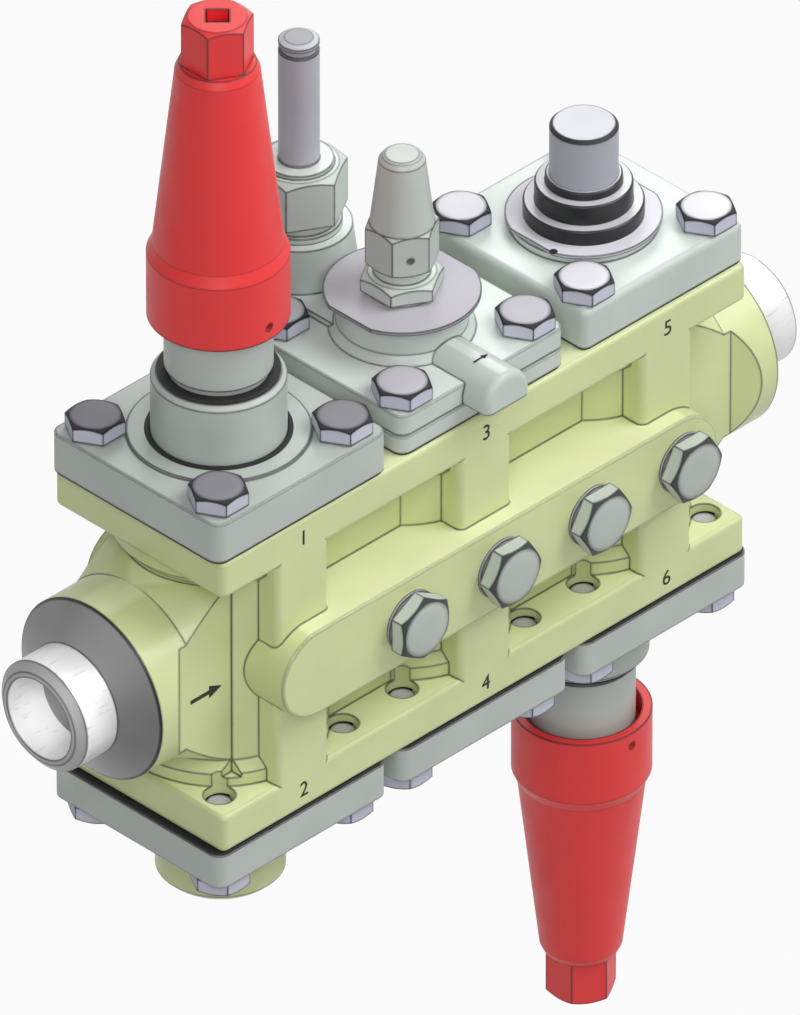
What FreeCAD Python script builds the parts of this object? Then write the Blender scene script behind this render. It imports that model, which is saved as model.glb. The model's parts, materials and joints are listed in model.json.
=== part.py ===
import FreeCAD, Part
import Sketcher
import math
import os
import re

# A valve station for a refrigerant line: one casting that carries six function modules,
# three on its top flange and three on its bottom flange, in pairs over three columns.
# Row frame: origin at the centre of the inlet weld end, +X along the flow, +Z up.
# The side with the hexagon plugs faces -Y. All lengths are in millimetres.

SIZES = [
    # Shared by several pieces
    ("overlap", 1.0, "how far a cut or a boss reaches past the surface that it meets"),
    ("hexagon_circle", 0.46, "flat circle on a hexagon, as a share of its across flats"),
    ("hexagon_angle", 30.0, "angle of the chamfer on a hexagon, in degrees"),
    ("thread_chamfer", 0.6, "chamfer at the end of a thread"),
    # Casting
    ("pitch", 80.0, "distance between neighbouring columns"),
    ("flange_top", 55.0, "mid plane to each outer flange plane"),
    ("flange_thickness", 13.7, "thickness of each flange"),
    ("flange_half_depth", 37.0, "half the depth of the flanges and pillars"),
    ("flange_overhang", 35.25, "flange end beyond the outer columns"),
    ("corner_round", 2.4, "round of the upright corners"),
    ("edge_round", 1.8, "round of the flange edges"),
    ("column_radius", 30.7, "outer radius of each column"),
    ("column_foot_radius", 33.9, "radius of a column where it meets a flange"),
    ("column_foot_start", 33.5, "height at which a column starts to widen"),
    ("pillar_half_width", 11.3, "half the width of each flat pillar"),
    ("web_half_depth", 21.3, "half the depth of the wall between columns"),
    ("rib_half_height", 15.6, "half the height of the long port rib"),
    ("rib_reach", 43.6, "mid plane to the face of the port rib"),
    ("rib_edge", 0.8, "round along the face of the port rib"),
    ("neck_radius", 31.0, "radius of the pipe necks"),
    ("neck_length", 55.6, "outer column to the end of its neck"),
    ("neck_round_part", 38.2, "outer column to the start of the round neck"),
    ("shoulder_flat", 0.4, "half the flat at the round end of the neck shoulder"),
    ("shoulder_half", 34.0, "half size of the square end of the neck shoulder"),
    ("shoulder_round", 14.0, "corner round of that square end"),
    ("shoulder_start", 18.7, "outer column to the square end of the shoulder"),
    ("arrow_pad_offset", 24.0, "mid plane to the flat pads beside the necks"),
    ("arrow_pad_end", 41.3, "outer column to the far end of the flat pads"),
    ("arrow_pad_half_height", 38.0, "half the height of the cut of the flat pads"),
    # Flow passages
    ("cavity_radius", 24.0, "bore of each module cavity"),
    ("partition_half", 12.0, "half the wall between a top and a bottom cavity"),
    ("port_radius", 12.0, "port through that wall"),
    ("bore_radius", 14.0, "bore of the pipe ends"),
    ("bore_length", 40.0, "depth of the straight bore from the weld end"),
    ("passage_radius", 10.0, "radius of the sloping passages"),
    ("passage_rise", 24.0, "height of a passage end above the mid plane"),
    ("passage_inset", 20.0, "column to the end of a passage"),
    ("end_passage_radius", 10.0, "radius of the passages from the pipe bores"),
    ("end_passage_start", 2.0, "height above the mid plane at which those begin"),
    ("end_passage_rise", 26.0, "height at which those enter their columns"),
    ("end_passage_overlap", 4.0, "length of those inside the pipe bores"),
    ("test_port_radius", 6.5, "thread radius of the ports in the rib"),
    ("test_port_depth", 18.0, "depth of the ports in the rib"),
    ("test_drill_radius", 2.5, "drilling from a port to the passage"),
    ("test_drill_end", 8.0, "mid plane to the end of that drilling"),
    # Weld ends
    ("stub_length", 22.9, "length of a weld end beyond its neck"),
    ("pipe_radius", 18.9, "outer radius of the weld pipe"),
    ("cone_length", 7.4, "length of the machined cone"),
    ("bevel_length", 2.4, "length of the weld bevel"),
    ("root_land", 1.9, "width of the root face round the bore"),
    # Ports in the rib
    ("plug_flats", 20.0, "across flats of a side plug"),
    ("plug_head", 6.2, "height of a side plug's head"),
    ("plug_washer", 1.3, "thickness of a side plug's washer"),
    ("plug_washer_radius", 10.4, "radius of that washer"),
    ("plug_length", 12.0, "shank of a side plug below its washer"),
    # Cover screws
    ("screw_place", 27.0, "column to a cover screw along X and Y"),
    ("screw_radius", 5.0, "thread radius of a cover screw"),
    ("screw_flats", 17.0, "across flats of a cover screw"),
    ("screw_head", 6.0, "height of a cover screw's head"),
    ("screw_grip", 10.8, "length of a cover screw inside the flange"),
    ("screw_hole_depth", 20.0, "depth of the screw holes in the casting"),
    ("screw_clearance", 0.5, "slack of a cover hole round its screw"),
    # Covers
    ("gasket", 0.8, "thickness of a cover gasket"),
    ("gasket_inset", 0.4, "edge of a cover to the edge of its gasket"),
    ("spigot", 3.0, "depth of a cover's spigot in the cavity"),
    ("spigot_clearance", 0.3, "slack of a spigot in its cavity"),
    ("cover_half", 37.25, "half size of a stop, strainer or check cover"),
    ("cover_corner", 4.3, "corner round of those covers"),
    ("upper_plate", 14.2, "thickness of the upper stop valve cover"),
    ("lower_plate", 12.4, "thickness of the lower covers"),
    ("cover_edge", 0.6, "edge round of the covers"),
    ("running_clearance", 0.05, "radial slack of a sliding or turning fit"),
    ("free_gap", 0.3, "gap between pieces that only pass each other"),
    # Stop valves
    ("land_radius", 28.75, "radius of the land round a bonnet"),
    ("land_height", 1.0, "height of that land"),
    ("bonnet_radius", 21.25, "radius of a bonnet"),
    ("bonnet_rise", 35.5, "gasket to the shoulder of a bonnet"),
    ("bonnet_chamfer", 1.7, "chamfer of that shoulder"),
    ("neck_thread_radius", 17.0, "radius of a bonnet's cap thread"),
    ("neck_thread_rise", 78.2, "gasket to the top of the cap thread"),
    ("undercut", 1.2, "depth of the groove below the cap thread"),
    ("undercut_height", 2.6, "height of that groove"),
    ("spindle_bore_rise", 0.7, "shoulder of a bonnet to the end of its spindle thread"),
    ("stop_disc_radius", 16.0, "radius of a stop valve cone"),
    ("stop_disc", 6.0, "thickness of a stop valve cone"),
    ("stop_nose", 4.0, "depth of the cone's nose in the port"),
    ("stop_hub_radius", 9.0, "radius of the cone's hub"),
    ("stop_hub", 16.0, "height of the cone's hub"),
    ("stop_lift", 12.0, "travel of a stop valve cone"),
    ("lift_reserve", 1.0, "free height above a spindle at the end of its travel"),
    ("foot_radius", 5.0, "radius of a spindle's foot"),
    ("foot_depth", 12.0, "depth of the foot's hole in the hub"),
    ("foot_play", 0.5, "play of the foot in that hole"),
    ("spindle_radius", 8.0, "thread radius of a spindle"),
    ("stem_radius", 6.5, "radius of a spindle's stem"),
    ("stem_rise", 94.0, "gasket to the end of a spindle's round stem"),
    ("square_half", 4.25, "half size of a spindle's square end"),
    ("square_height", 9.0, "height of a spindle's square end"),
    ("packing_radius", 11.0, "bore for the packing and gland"),
    ("packing_rise", 44.2, "gasket to the bottom of the packing"),
    ("packing", 4.0, "height of the packing"),
    ("gland_flats", 22.0, "across flats of a gland"),
    ("gland_head", 6.0, "height of a gland's head"),
    # Red caps
    ("cap_rim_rise", 59.2, "gasket to the rim of a cap"),
    ("cap_collar_radius", 22.3, "radius of a cap's collar"),
    ("cap_collar", 23.0, "height of a cap's collar"),
    ("cap_shoulder", 4.0, "height of the slope above the collar"),
    ("cap_waist_radius", 20.5, "radius at the foot of a cap's cone"),
    ("cap_cone", 63.9, "height of a cap's cone"),
    ("cap_top_radius", 13.25, "radius at the top of a cap's cone"),
    ("cap_throat_radius", 12.0, "radius of the throat below a cap's hexagon"),
    ("cap_throat", 2.7, "height of that throat"),
    ("cap_flats", 20.0, "across flats of a cap's hexagon"),
    ("cap_hexagon", 16.5, "height of a cap's hexagon"),
    ("cap_socket", 7.3, "side of the square hole in a cap's top"),
    ("cap_socket_depth", 5.0, "depth of that square hole"),
    ("cap_mouth_radius", 19.0, "inner radius of a cap at its rim"),
    ("cap_mouth", 7.0, "depth of a cap's wide mouth"),
    ("cap_inner_radius", 14.5, "inner radius of a cap above its thread"),
    ("cap_inner_top_radius", 10.0, "inner radius at the top of the hollow"),
    ("cap_inner_height", 66.0, "height of the hollow above the thread"),
    ("cap_drill_point", 2.0, "height of the drill point above the hollow"),
    ("cap_vent_radius", 1.25, "radius of a cap's vent hole"),
    ("cap_vent_rise", 4.7, "rim to a cap's vent hole"),
    # Strainer
    ("strainer_collar_radius", 20.5, "radius of the strainer's collar"),
    ("strainer_collar", 27.3, "height of the strainer's collar"),
    ("strainer_chamfer", 2.0, "chamfer of the collar's end"),
    ("screen_radius", 18.0, "outer radius of the strainer screen"),
    ("screen_wall", 1.0, "wall of the strainer screen"),
    ("screen_window", 6.0, "side of a window in the screen"),
    ("drain_flats", 17.0, "across flats of the drain plug"),
    ("drain_head", 5.0, "height of the drain plug's head"),
    ("drain_radius", 6.0, "thread radius of the drain plug"),
    ("drain_length", 12.0, "length of the drain plug's thread"),
    # Solenoid valve
    ("solenoid_half", 36.0, "half size of the solenoid covers"),
    ("solenoid_corner", 4.0, "corner round of the solenoid covers"),
    ("solenoid_layer", 6.3, "thickness of the lower solenoid cover"),
    ("solenoid_seam", 0.6, "thickness of the seal between the two"),
    ("solenoid_seam_inset", 0.8, "edge of the covers to the edge of that seal"),
    ("solenoid_seam_hole", 6.0, "radius of that seal's centre hole"),
    ("solenoid_plate", 7.3, "thickness of the upper solenoid cover"),
    ("dome_foot_radius", 23.0, "radius at the foot of the centre boss"),
    ("dome_slope_radius", 20.6, "radius above the foot of the centre boss"),
    ("dome_slope", 3.0, "height of the foot of the centre boss"),
    ("dome_radius", 19.5, "radius at the top of the centre boss"),
    ("dome_height", 13.0, "height of the centre boss"),
    ("pilot_offset", 45.2, "column to the axis of the pilot, to the rear"),
    ("pilot_foot_radius", 18.6, "radius at the foot of the pilot boss"),
    ("pilot_radius", 16.8, "radius at the top of the pilot boss"),
    ("pilot_height", 17.1, "height of the pilot boss"),
    ("pilot_foot", 2.0, "height of the pilot boss's straight foot"),
    ("channel_radius", 9.6, "radius of the half round channel boss"),
    ("channel_height", 5.0, "axis of that boss below the cover's top"),
    ("channel_reach", 46.8, "column to the end of that boss"),
    ("channel_round", 2.5, "round of that boss's end"),
    ("pilot_ring_radius", 13.6, "radius of the ring below the pilot nut"),
    ("pilot_ring", 5.7, "height of that ring"),
    ("pilot_ring_step", 2.3, "height of the ring's wide part"),
    ("pilot_ring_inset", 1.5, "depth of the ring's step"),
    ("pilot_flats", 27.2, "across flats of the pilot nut"),
    ("pilot_hexagon", 17.2, "height of the pilot nut's hexagon"),
    ("pilot_lip_radius", 11.0, "radius of the lip above the hexagon"),
    ("pilot_lip", 1.4, "height of that lip"),
    ("pilot_thread_radius", 10.0, "thread radius of the pilot nut"),
    ("pilot_thread", 9.0, "length of that thread"),
    ("pilot_bore_rest", 2.0, "depth of the pilot bore below that thread"),
    ("armature_radius", 6.5, "outer radius of the armature tube"),
    ("armature_wall", 0.8, "wall of the armature tube"),
    ("armature_rise", 45.2, "length of the armature tube above the lip"),
    ("armature_top", 24.6, "solid end of the armature tube"),
    ("armature_groove", 1.0, "depth of the clip groove in the tube"),
    ("armature_groove_drop", 3.4, "tube's end to the middle of that groove"),
    ("armature_groove_height", 2.4, "height of that groove"),
    ("armature_root_radius", 6.2, "radius of the tube inside the pilot nut"),
    ("armature_seat", 2.0, "end of the pilot nut's thread to the tube's foot"),
    ("armature_relief", 0.6, "height of the braze groove above the nut's lip"),
    ("pilot_orifice_radius", 1.5, "radius of the orifice that the plunger closes"),
    ("armature_tip", 1.0, "height of the chamfer at the tube's end"),
    ("armature_tip_radius", 4.55, "radius of the flat at the tube's end"),
    ("plunger_length", 24.0, "length of the plunger"),
    ("plunger_tip", 2.0, "height of the plunger's tip"),
    ("plunger_tip_radius", 2.8, "radius of the plunger's tip"),
    ("plunger_wire", 0.5, "wire radius of the plunger's spring"),
    ("plunger_coil", 4.0, "mean radius of the plunger's spring"),
    ("cage_bore", 15.0, "bore of the two guide cages"),
    ("cage_wall", 4.0, "wall of the guide cages"),
    ("cage_window", 12.0, "height of the windows in the cages"),
    ("cage_window_half", 8.25, "half the width of those windows"),
    ("cage_window_rise", 3.0, "foot of a cage to its windows"),
    ("piston_length", 24.0, "length of the solenoid piston"),
    ("piston_floor", 4.0, "floor of the solenoid piston"),
    ("piston_wall", 3.0, "wall of the solenoid piston"),
    ("piston_wire", 0.9, "wire radius of the piston's spring"),
    ("piston_coil", 9.5, "mean radius of the piston's spring"),
    # Manual opener
    ("badge_radius", 24.75, "radius of the two marking discs"),
    ("badge_half", 23.0, "half the distance across the discs' flats"),
    ("badge", 1.2, "thickness of the marking discs"),
    ("opener_neck_radius", 8.0, "radius of the opener nut through its disc"),
    ("opener_base_radius", 11.0, "radius of the opener nut's foot"),
    ("opener_base", 1.3, "height of that foot"),
    ("opener_flats", 23.4, "across flats of the opener nut"),
    ("opener_hexagon", 5.5, "height of the opener nut's hexagon"),
    ("opener_waist_radius", 8.8, "radius of the groove above the nut"),
    ("opener_waist", 3.9, "height of that groove"),
    ("opener_thread_radius", 7.0, "radius of the seal cap's thread"),
    ("opener_thread", 6.0, "height of that thread"),
    ("opener_stem_radius", 4.0, "radius of the opener spindle"),
    ("opener_stem_depth", 56.0, "length of the opener spindle below the nut's thread"),
    ("opener_head_radius", 5.2, "radius of the head at the opener spindle's foot"),
    ("opener_head", 1.2, "height of that head"),
    ("lifter_radius", 7.0, "radius of the lifter on the opener spindle"),
    ("lifter", 2.6, "height of the lifter"),
    ("opener_stem_top", 11.0, "length of the opener spindle above the nut's thread"),
    ("opener_key_half", 2.8, "half the distance across the key flats of the opener spindle"),
    ("opener_key", 5.5, "height of those flats"),
    ("seal_flats", 20.7, "across flats of the seal cap"),
    ("seal_hexagon", 13.2, "height of the seal cap's hexagon"),
    ("seal_step", 1.4, "height of the step above the hexagon"),
    ("seal_cone_radius", 10.15, "radius at the foot of the seal cap's cone"),
    ("seal_cone", 23.2, "height of the seal cap's cone"),
    ("seal_tip_radius", 7.4, "radius at the top of the seal cap's cone"),
    ("seal_tip", 2.1, "height of the seal cap's rounded tip"),
    ("seal_shoulder_radius", 6.2, "radius of the shoulder of that tip"),
    ("seal_shoulder", 0.5, "height of that shoulder's slope"),
    ("seal_flat_radius", 5.3, "radius of the flat on the tip"),
    ("seal_thread_reserve", 0.5, "free depth of the seal cap above the thread"),
    ("seal_drill_point", 2.0, "height of the drill point above the seal cap's hollow"),
    ("seal_inner_radius", 5.5, "radius of the hollow in the seal cap"),
    ("seal_inner_height", 24.0, "height of that hollow above the thread"),
    ("seal_vent_radius", 1.0, "radius of the seal cap's vent hole"),
    ("seal_vent_rise", 6.1, "rim to that vent hole"),
    # Check valve
    ("check_disc", 4.0, "thickness of the check valve cone"),
    ("check_disc_radius", 15.0, "radius of the check valve cone"),
    ("check_stem_radius", 5.0, "radius of the check valve stem"),
    ("check_stem", 28.0, "length of the check valve stem"),
    ("check_guide_radius", 9.0, "radius of the guide boss"),
    ("check_guide", 21.8, "length of the guide boss below the gasket"),
    ("check_guide_depth", 5.0, "depth of the guide bore above the gasket"),
    ("check_wire", 0.7, "wire radius of the check valve's spring"),
    ("check_coil", 7.2, "mean radius of the check valve's spring"),
    # Motor valve
    ("regulator_half", 35.5, "half size of the motor valve cover"),
    ("regulator_corner", 2.6, "corner round of that cover"),
    ("regulator_edge", 2.4, "round of that cover's top edge"),
    ("regulator_boss_radius", 23.5, "radius of the boss on that cover"),
    ("regulator_boss", 2.6, "height of that boss"),
    ("adapter_radius", 18.8, "radius of the adapter's foot"),
    ("adapter_foot", 4.1, "height of the adapter's foot"),
    ("adapter_step", 1.6, "height of the wide part of that foot"),
    ("adapter_inset", 1.2, "depth of the step on that foot"),
    ("adapter_ring_radius", 15.7, "radius of the adapter's rings"),
    ("adapter_ring", 2.6, "height of each adapter ring"),
    ("adapter_groove_radius", 13.2, "radius between the rings"),
    ("adapter_groove", 1.6, "height between the rings"),
    ("adapter_top", 2.2, "height of the adapter's neck"),
    ("adapter_top_radius", 12.4, "radius of the adapter's neck"),
    ("actuator_radius", 10.85, "outer radius of the actuator tube"),
    ("actuator_root_radius", 10.4, "radius of that tube inside the adapter"),
    ("actuator_relief", 0.6, "height of the braze groove above the adapter"),
    ("actuator_wall", 1.0, "wall of the actuator tube"),
    ("actuator_rise", 33.5, "disc to the end of the actuator tube"),
    ("rotor_radius", 9.5, "radius of the rotor magnet"),
    ("rotor_length", 16.0, "length of the rotor magnet"),
    ("rotor_gap", 2.0, "free height above the rotor magnet"),
    ("rotor_shaft_radius", 3.0, "radius of the rotor shaft"),
    ("rotor_reach", 18.0, "length of the shaft inside the cone"),
    ("regulator_disc", 4.0, "thickness of the motor valve cone"),
    ("regulator_hub_radius", 8.0, "radius of the motor valve cone's hub"),
    ("regulator_hub", 24.0, "height of the motor valve cone's hub"),
    ("regulator_floor", 2.0, "floor below the shaft's hole in the cone"),
]
NAMES = {alias for alias, size, meaning in SIZES}

doc = FreeCAD.newDocument("ValveStation")
sheet = doc.addObject("Spreadsheet::Sheet", "Sizes")
for row, (alias, size, meaning) in enumerate(SIZES, start=1):
    sheet.set(f"A{row}", meaning)
    sheet.set(f"B{row}", str(size))
    sheet.setAlias(f"B{row}", alias)
doc.recompute()

NODES = {}
SCREEN_COLUMNS = 10
CAGE_WINDOWS = 4
STOP = 1e-3


def bind(text):
    """Put the sheet's name before each size that an expression names."""
    return re.sub(r"[a-z]\w*", lambda word: f"Sizes.{word[0]}" if word[0] in NAMES else word[0], str(text))


def value(text):
    """Work out an expression on the sheet, in millimetres."""
    return float(sheet.evalExpression(bind(text)))


def new_body(name, column=None, under=False):
    """Start a piece; column puts its own Z axis on that column, under turns it over."""
    body = doc.addObject("PartDesign::Body", name)
    body.Label = name
    if under:
        body.Placement.Rotation = FreeCAD.Rotation(FreeCAD.Vector(1, 0, 0), 180)
    if column is not None:
        body.setExpression("Placement.Base.x", bind(column))
    return body


def new_sketch(body, name, plane="XZ_Plane", along=0, lift=0):
    """Add a sketch on an origin plane, shifted along its own first axis or its normal."""
    sketch = body.newObject("Sketcher::SketchObject", name)
    origin_plane = next(item for item in body.Origin.OriginFeatures if item.Role == plane)
    sketch.AttachmentSupport = [(origin_plane, "")]
    sketch.MapMode = "FlatFace"
    if along:
        sketch.setExpression("AttachmentOffset.Base.x", bind(along))
    if lift:
        sketch.setExpression("AttachmentOffset.Base.z", bind(lift))
    return sketch


def drive(sketch, rules):
    """Add constraints; each rule is (constraint arguments, expression or None)."""
    first = sketch.ConstraintCount
    made = []
    for arguments, size in rules:
        numbers = [] if size is None else [value(size)]
        made.append(Sketcher.Constraint(*arguments, *numbers))
    sketch.addConstraint(made)
    for index, (arguments, size) in enumerate(rules, start=first):
        if size is not None:
            sketch.setExpression(f"Constraints[{index}]", bind(size))


def polygon(sketch, corners):
    """Draw a closed outline of straight lines; every corner is a pair of expressions."""
    first = sketch.GeometryCount
    count = len(corners)
    places = [FreeCAD.Vector(value(x), value(y), 0) for x, y in corners]
    sketch.addGeometry([Part.LineSegment(places[i], places[(i + 1) % count]) for i in range(count)])
    rules = []
    for i, (x, y) in enumerate(corners):
        rules.append((("Coincident", first + i, 2, first + (i + 1) % count, 1), None))
        rules.append((("DistanceX", -1, 1, first + i, 1), x))
        rules.append((("DistanceY", -1, 1, first + i, 1), y))
    drive(sketch, rules)


def circles(sketch, rings):
    """Draw circles; each is (x, y, radius), as expressions."""
    rules = []
    for x, y, radius in rings:
        centre = FreeCAD.Vector(value(x), value(y), 0)
        index = sketch.addGeometry(Part.Circle(centre, FreeCAD.Vector(0, 0, 1), value(radius)))
        rules.append((("DistanceX", -1, 1, index, 3), x))
        rules.append((("DistanceY", -1, 1, index, 3), y))
        rules.append((("Radius", index), radius))
    drive(sketch, rules)


def rounded_rectangle(sketch, half_x, half_y, radius, middle_x="0"):
    """Draw a rectangle with round corners about (middle_x, 0)."""
    cx, hx, hy, r = value(middle_x), value(half_x), value(half_y), value(radius)
    first = sketch.GeometryCount
    up = FreeCAD.Vector(0, 0, 1)
    sides = [
        ((cx - hx + r, -hy), (cx + hx - r, -hy)),
        ((cx + hx, -hy + r), (cx + hx, hy - r)),
        ((cx + hx - r, hy), (cx - hx + r, hy)),
        ((cx - hx, hy - r), (cx - hx, -hy + r)),
    ]
    for start, end in sides:
        sketch.addGeometry(Part.LineSegment(FreeCAD.Vector(*start, 0), FreeCAD.Vector(*end, 0)))
    centres = [(cx + hx - r, -hy + r), (cx + hx - r, hy - r), (cx - hx + r, hy - r), (cx - hx + r, -hy + r)]
    for quarter, centre in enumerate(centres):
        start = math.radians(90 * quarter - 90)
        circle = Part.Circle(FreeCAD.Vector(*centre, 0), up, r)
        sketch.addGeometry(Part.ArcOfCircle(circle, start, start + math.radians(90)))
    rules = []
    for side in range(4):
        line, arc, following = first + side, first + 4 + side, first + (side + 1) % 4
        rules.append((("Tangent", line, 2, arc, 1), None))
        rules.append((("Tangent", arc, 2, following, 1), None))
        rules.append((("Vertical" if side % 2 else "Horizontal", line), None))
        if side:
            rules.append((("Equal", first + 4, arc), None))
    rules.append((("Radius", first + 4), radius))
    rules.append((("DistanceY", -1, 1, first, 1), f"-({half_y})"))
    rules.append((("DistanceX", -1, 1, first + 1, 1), f"{middle_x} + {half_x}"))
    rules.append((("DistanceY", -1, 1, first + 2, 1), half_y))
    rules.append((("DistanceX", -1, 1, first + 3, 1), f"{middle_x} - ({half_x})"))
    drive(sketch, rules)


def slot(sketch, half_length, radius):
    """Draw a slot shape along the first axis, with its end centres at half_length."""
    reach, r = value(half_length), value(radius)
    first = sketch.GeometryCount
    up = FreeCAD.Vector(0, 0, 1)
    quarter = math.radians(90)
    sketch.addGeometry([
        Part.LineSegment(FreeCAD.Vector(-reach, -r, 0), FreeCAD.Vector(reach, -r, 0)),
        Part.ArcOfCircle(Part.Circle(FreeCAD.Vector(reach, 0, 0), up, r), -quarter, quarter),
        Part.LineSegment(FreeCAD.Vector(reach, r, 0), FreeCAD.Vector(-reach, r, 0)),
        Part.ArcOfCircle(Part.Circle(FreeCAD.Vector(-reach, 0, 0), up, r), quarter, 3 * quarter),
    ])
    drive(sketch, [
        (("Tangent", first, 2, first + 1, 1), None),
        (("Tangent", first + 1, 2, first + 2, 1), None),
        (("Tangent", first + 2, 2, first + 3, 1), None),
        (("Tangent", first + 3, 2, first, 1), None),
        (("Horizontal", first), None),
        (("DistanceX", -1, 1, first + 1, 3), half_length),
        (("DistanceX", -1, 1, first + 3, 3), f"-({half_length})"),
        (("DistanceY", -1, 1, first + 1, 3), "0"),
        (("Radius", first + 1), radius),
    ])


def hexagon(sketch, flats, x="0", y="0", point_along_x=False):
    """Draw a hexagon; its corners point along the second axis unless told otherwise."""
    half, corner, side = f"({flats}) / 2", f"({flats}) / sqrt(3)", f"({flats}) / (2 * sqrt(3))"
    steps = [
        ("0", corner), (half, side), (half, f"-{side}"),
        ("0", f"-{corner}"), (f"-{half}", f"-{side}"), (f"-{half}", side),
    ]
    if point_along_x:
        steps = [(second, first) for first, second in steps]
    polygon(sketch, [(f"{x} + {dx}", f"{y} + {dy}") for dx, dy in steps])


def grow(body, kind, name, sketch):
    """Add a feature made from a sketch and return it."""
    feature = body.newObject(kind, name)
    feature.Profile = sketch
    return feature


def pad(body, sketch, length, name, symmetric=False, reverse=False):
    """Add a pad of an expression's length."""
    feature = grow(body, "PartDesign::Pad", name, sketch)
    feature.SideType = "Symmetric" if symmetric else "One side"
    feature.Reversed = reverse
    feature.setExpression("Length", bind(length))
    return feature


def checked_cut(body, feature):
    """Recompute and stop if a cut removed nothing."""
    doc.recompute()
    if not feature.BaseFeature.Shape.Volume - feature.Shape.Volume > STOP:
        raise RuntimeError(f"{body.Label}: {feature.Name} cuts nothing")
    return feature


def pocket(body, sketch, length, name, symmetric=False, reverse=False):
    """Cut a pocket of an expression's length."""
    feature = grow(body, "PartDesign::Pocket", name, sketch)
    feature.SideType = "Symmetric" if symmetric else "One side"
    feature.Reversed = reverse
    feature.setExpression("Length", bind(length))
    return checked_cut(body, feature)


def turn(body, corners, name, along=0, axis="V_Axis", plane="XZ_Plane", cut=False):
    """Revolve or cut an outline of (radius, height) corners about a sketch axis."""
    sketch = new_sketch(body, f"{name}_outline", plane, along)
    polygon(sketch, corners)
    feature = grow(body, "PartDesign::Groove" if cut else "PartDesign::Revolution", name, sketch)
    feature.ReferenceAxis = (sketch, [axis])
    feature.Angle = 360
    return checked_cut(body, feature) if cut else feature


def bore(body, corners, name, **options):
    """Cut an outline of (radius, height) corners, turned about a sketch axis."""
    return turn(body, corners, name, cut=True, **options)


def chamfer_hexagon(body, flats, end, name="chamfer", circle=None, slope="-"):
    """Cut the chamfer that leaves a flat circle on the end of a hexagon."""
    circle = circle or f"({flats} * hexagon_circle)"
    foot = f"({end} {slope} ({flats} - {circle}) * tan(hexagon_angle))"
    bore(body, [(circle, end), (flats, end), (flats, foot)], name)


def round_edges(body, radius, test, name):
    """Fillet the edges of the body's tip that pass a test."""
    doc.recompute()
    base = body.Tip
    chosen = [f"Edge{i}" for i, edge in enumerate(base.Shape.Edges, start=1) if test(edge)]
    if not chosen:
        raise RuntimeError(f"{body.Label}: {name} finds no edge")
    feature = body.newObject("PartDesign::Fillet", name)
    feature.Base = (base, chosen)
    feature.setExpression("Radius", bind(radius))
    return feature


def lies_at(edge, axis, place):
    """Tell whether a whole edge lies at one place along X, Y or Z."""
    box = edge.BoundBox
    low, high = {"x": (box.XMin, box.XMax), "y": (box.YMin, box.YMax), "z": (box.ZMin, box.ZMax)}[axis]
    return abs(low - place) < STOP and abs(high - place) < STOP


def keep(name, item):
    """Note a finished sub-part under its node's name."""
    item.Label = name
    NODES[name] = item
    return item


def group(name, items):
    """Join equal fasteners in one node as separate solids."""
    compound = doc.addObject("Part::Compound", name)
    compound.Links = items
    return keep(name, compound)


FIRST = "(neck_length + stub_length)"
SECOND = f"({FIRST} + pitch)"
THIRD = f"({FIRST} + 2 * pitch)"
OUTLET_END = f"(2 * {FIRST} + 2 * pitch)"
SEAT = "(flange_top + gasket)"
UPPER_TOP = f"({SEAT} + upper_plate)"
LOWER_TOP = f"({SEAT} + lower_plate)"
SOLENOID_TOP = f"({SEAT} + solenoid_layer + solenoid_seam + solenoid_plate)"
SPIGOT_END = f"({SEAT} - spigot)"
SPIGOT_RADIUS = "(cavity_radius - spigot_clearance)"
SCREWS = [(f"{a} * screw_place", f"{b} * screw_place") for a in (-1, 1) for b in (-1, 1)]


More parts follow.
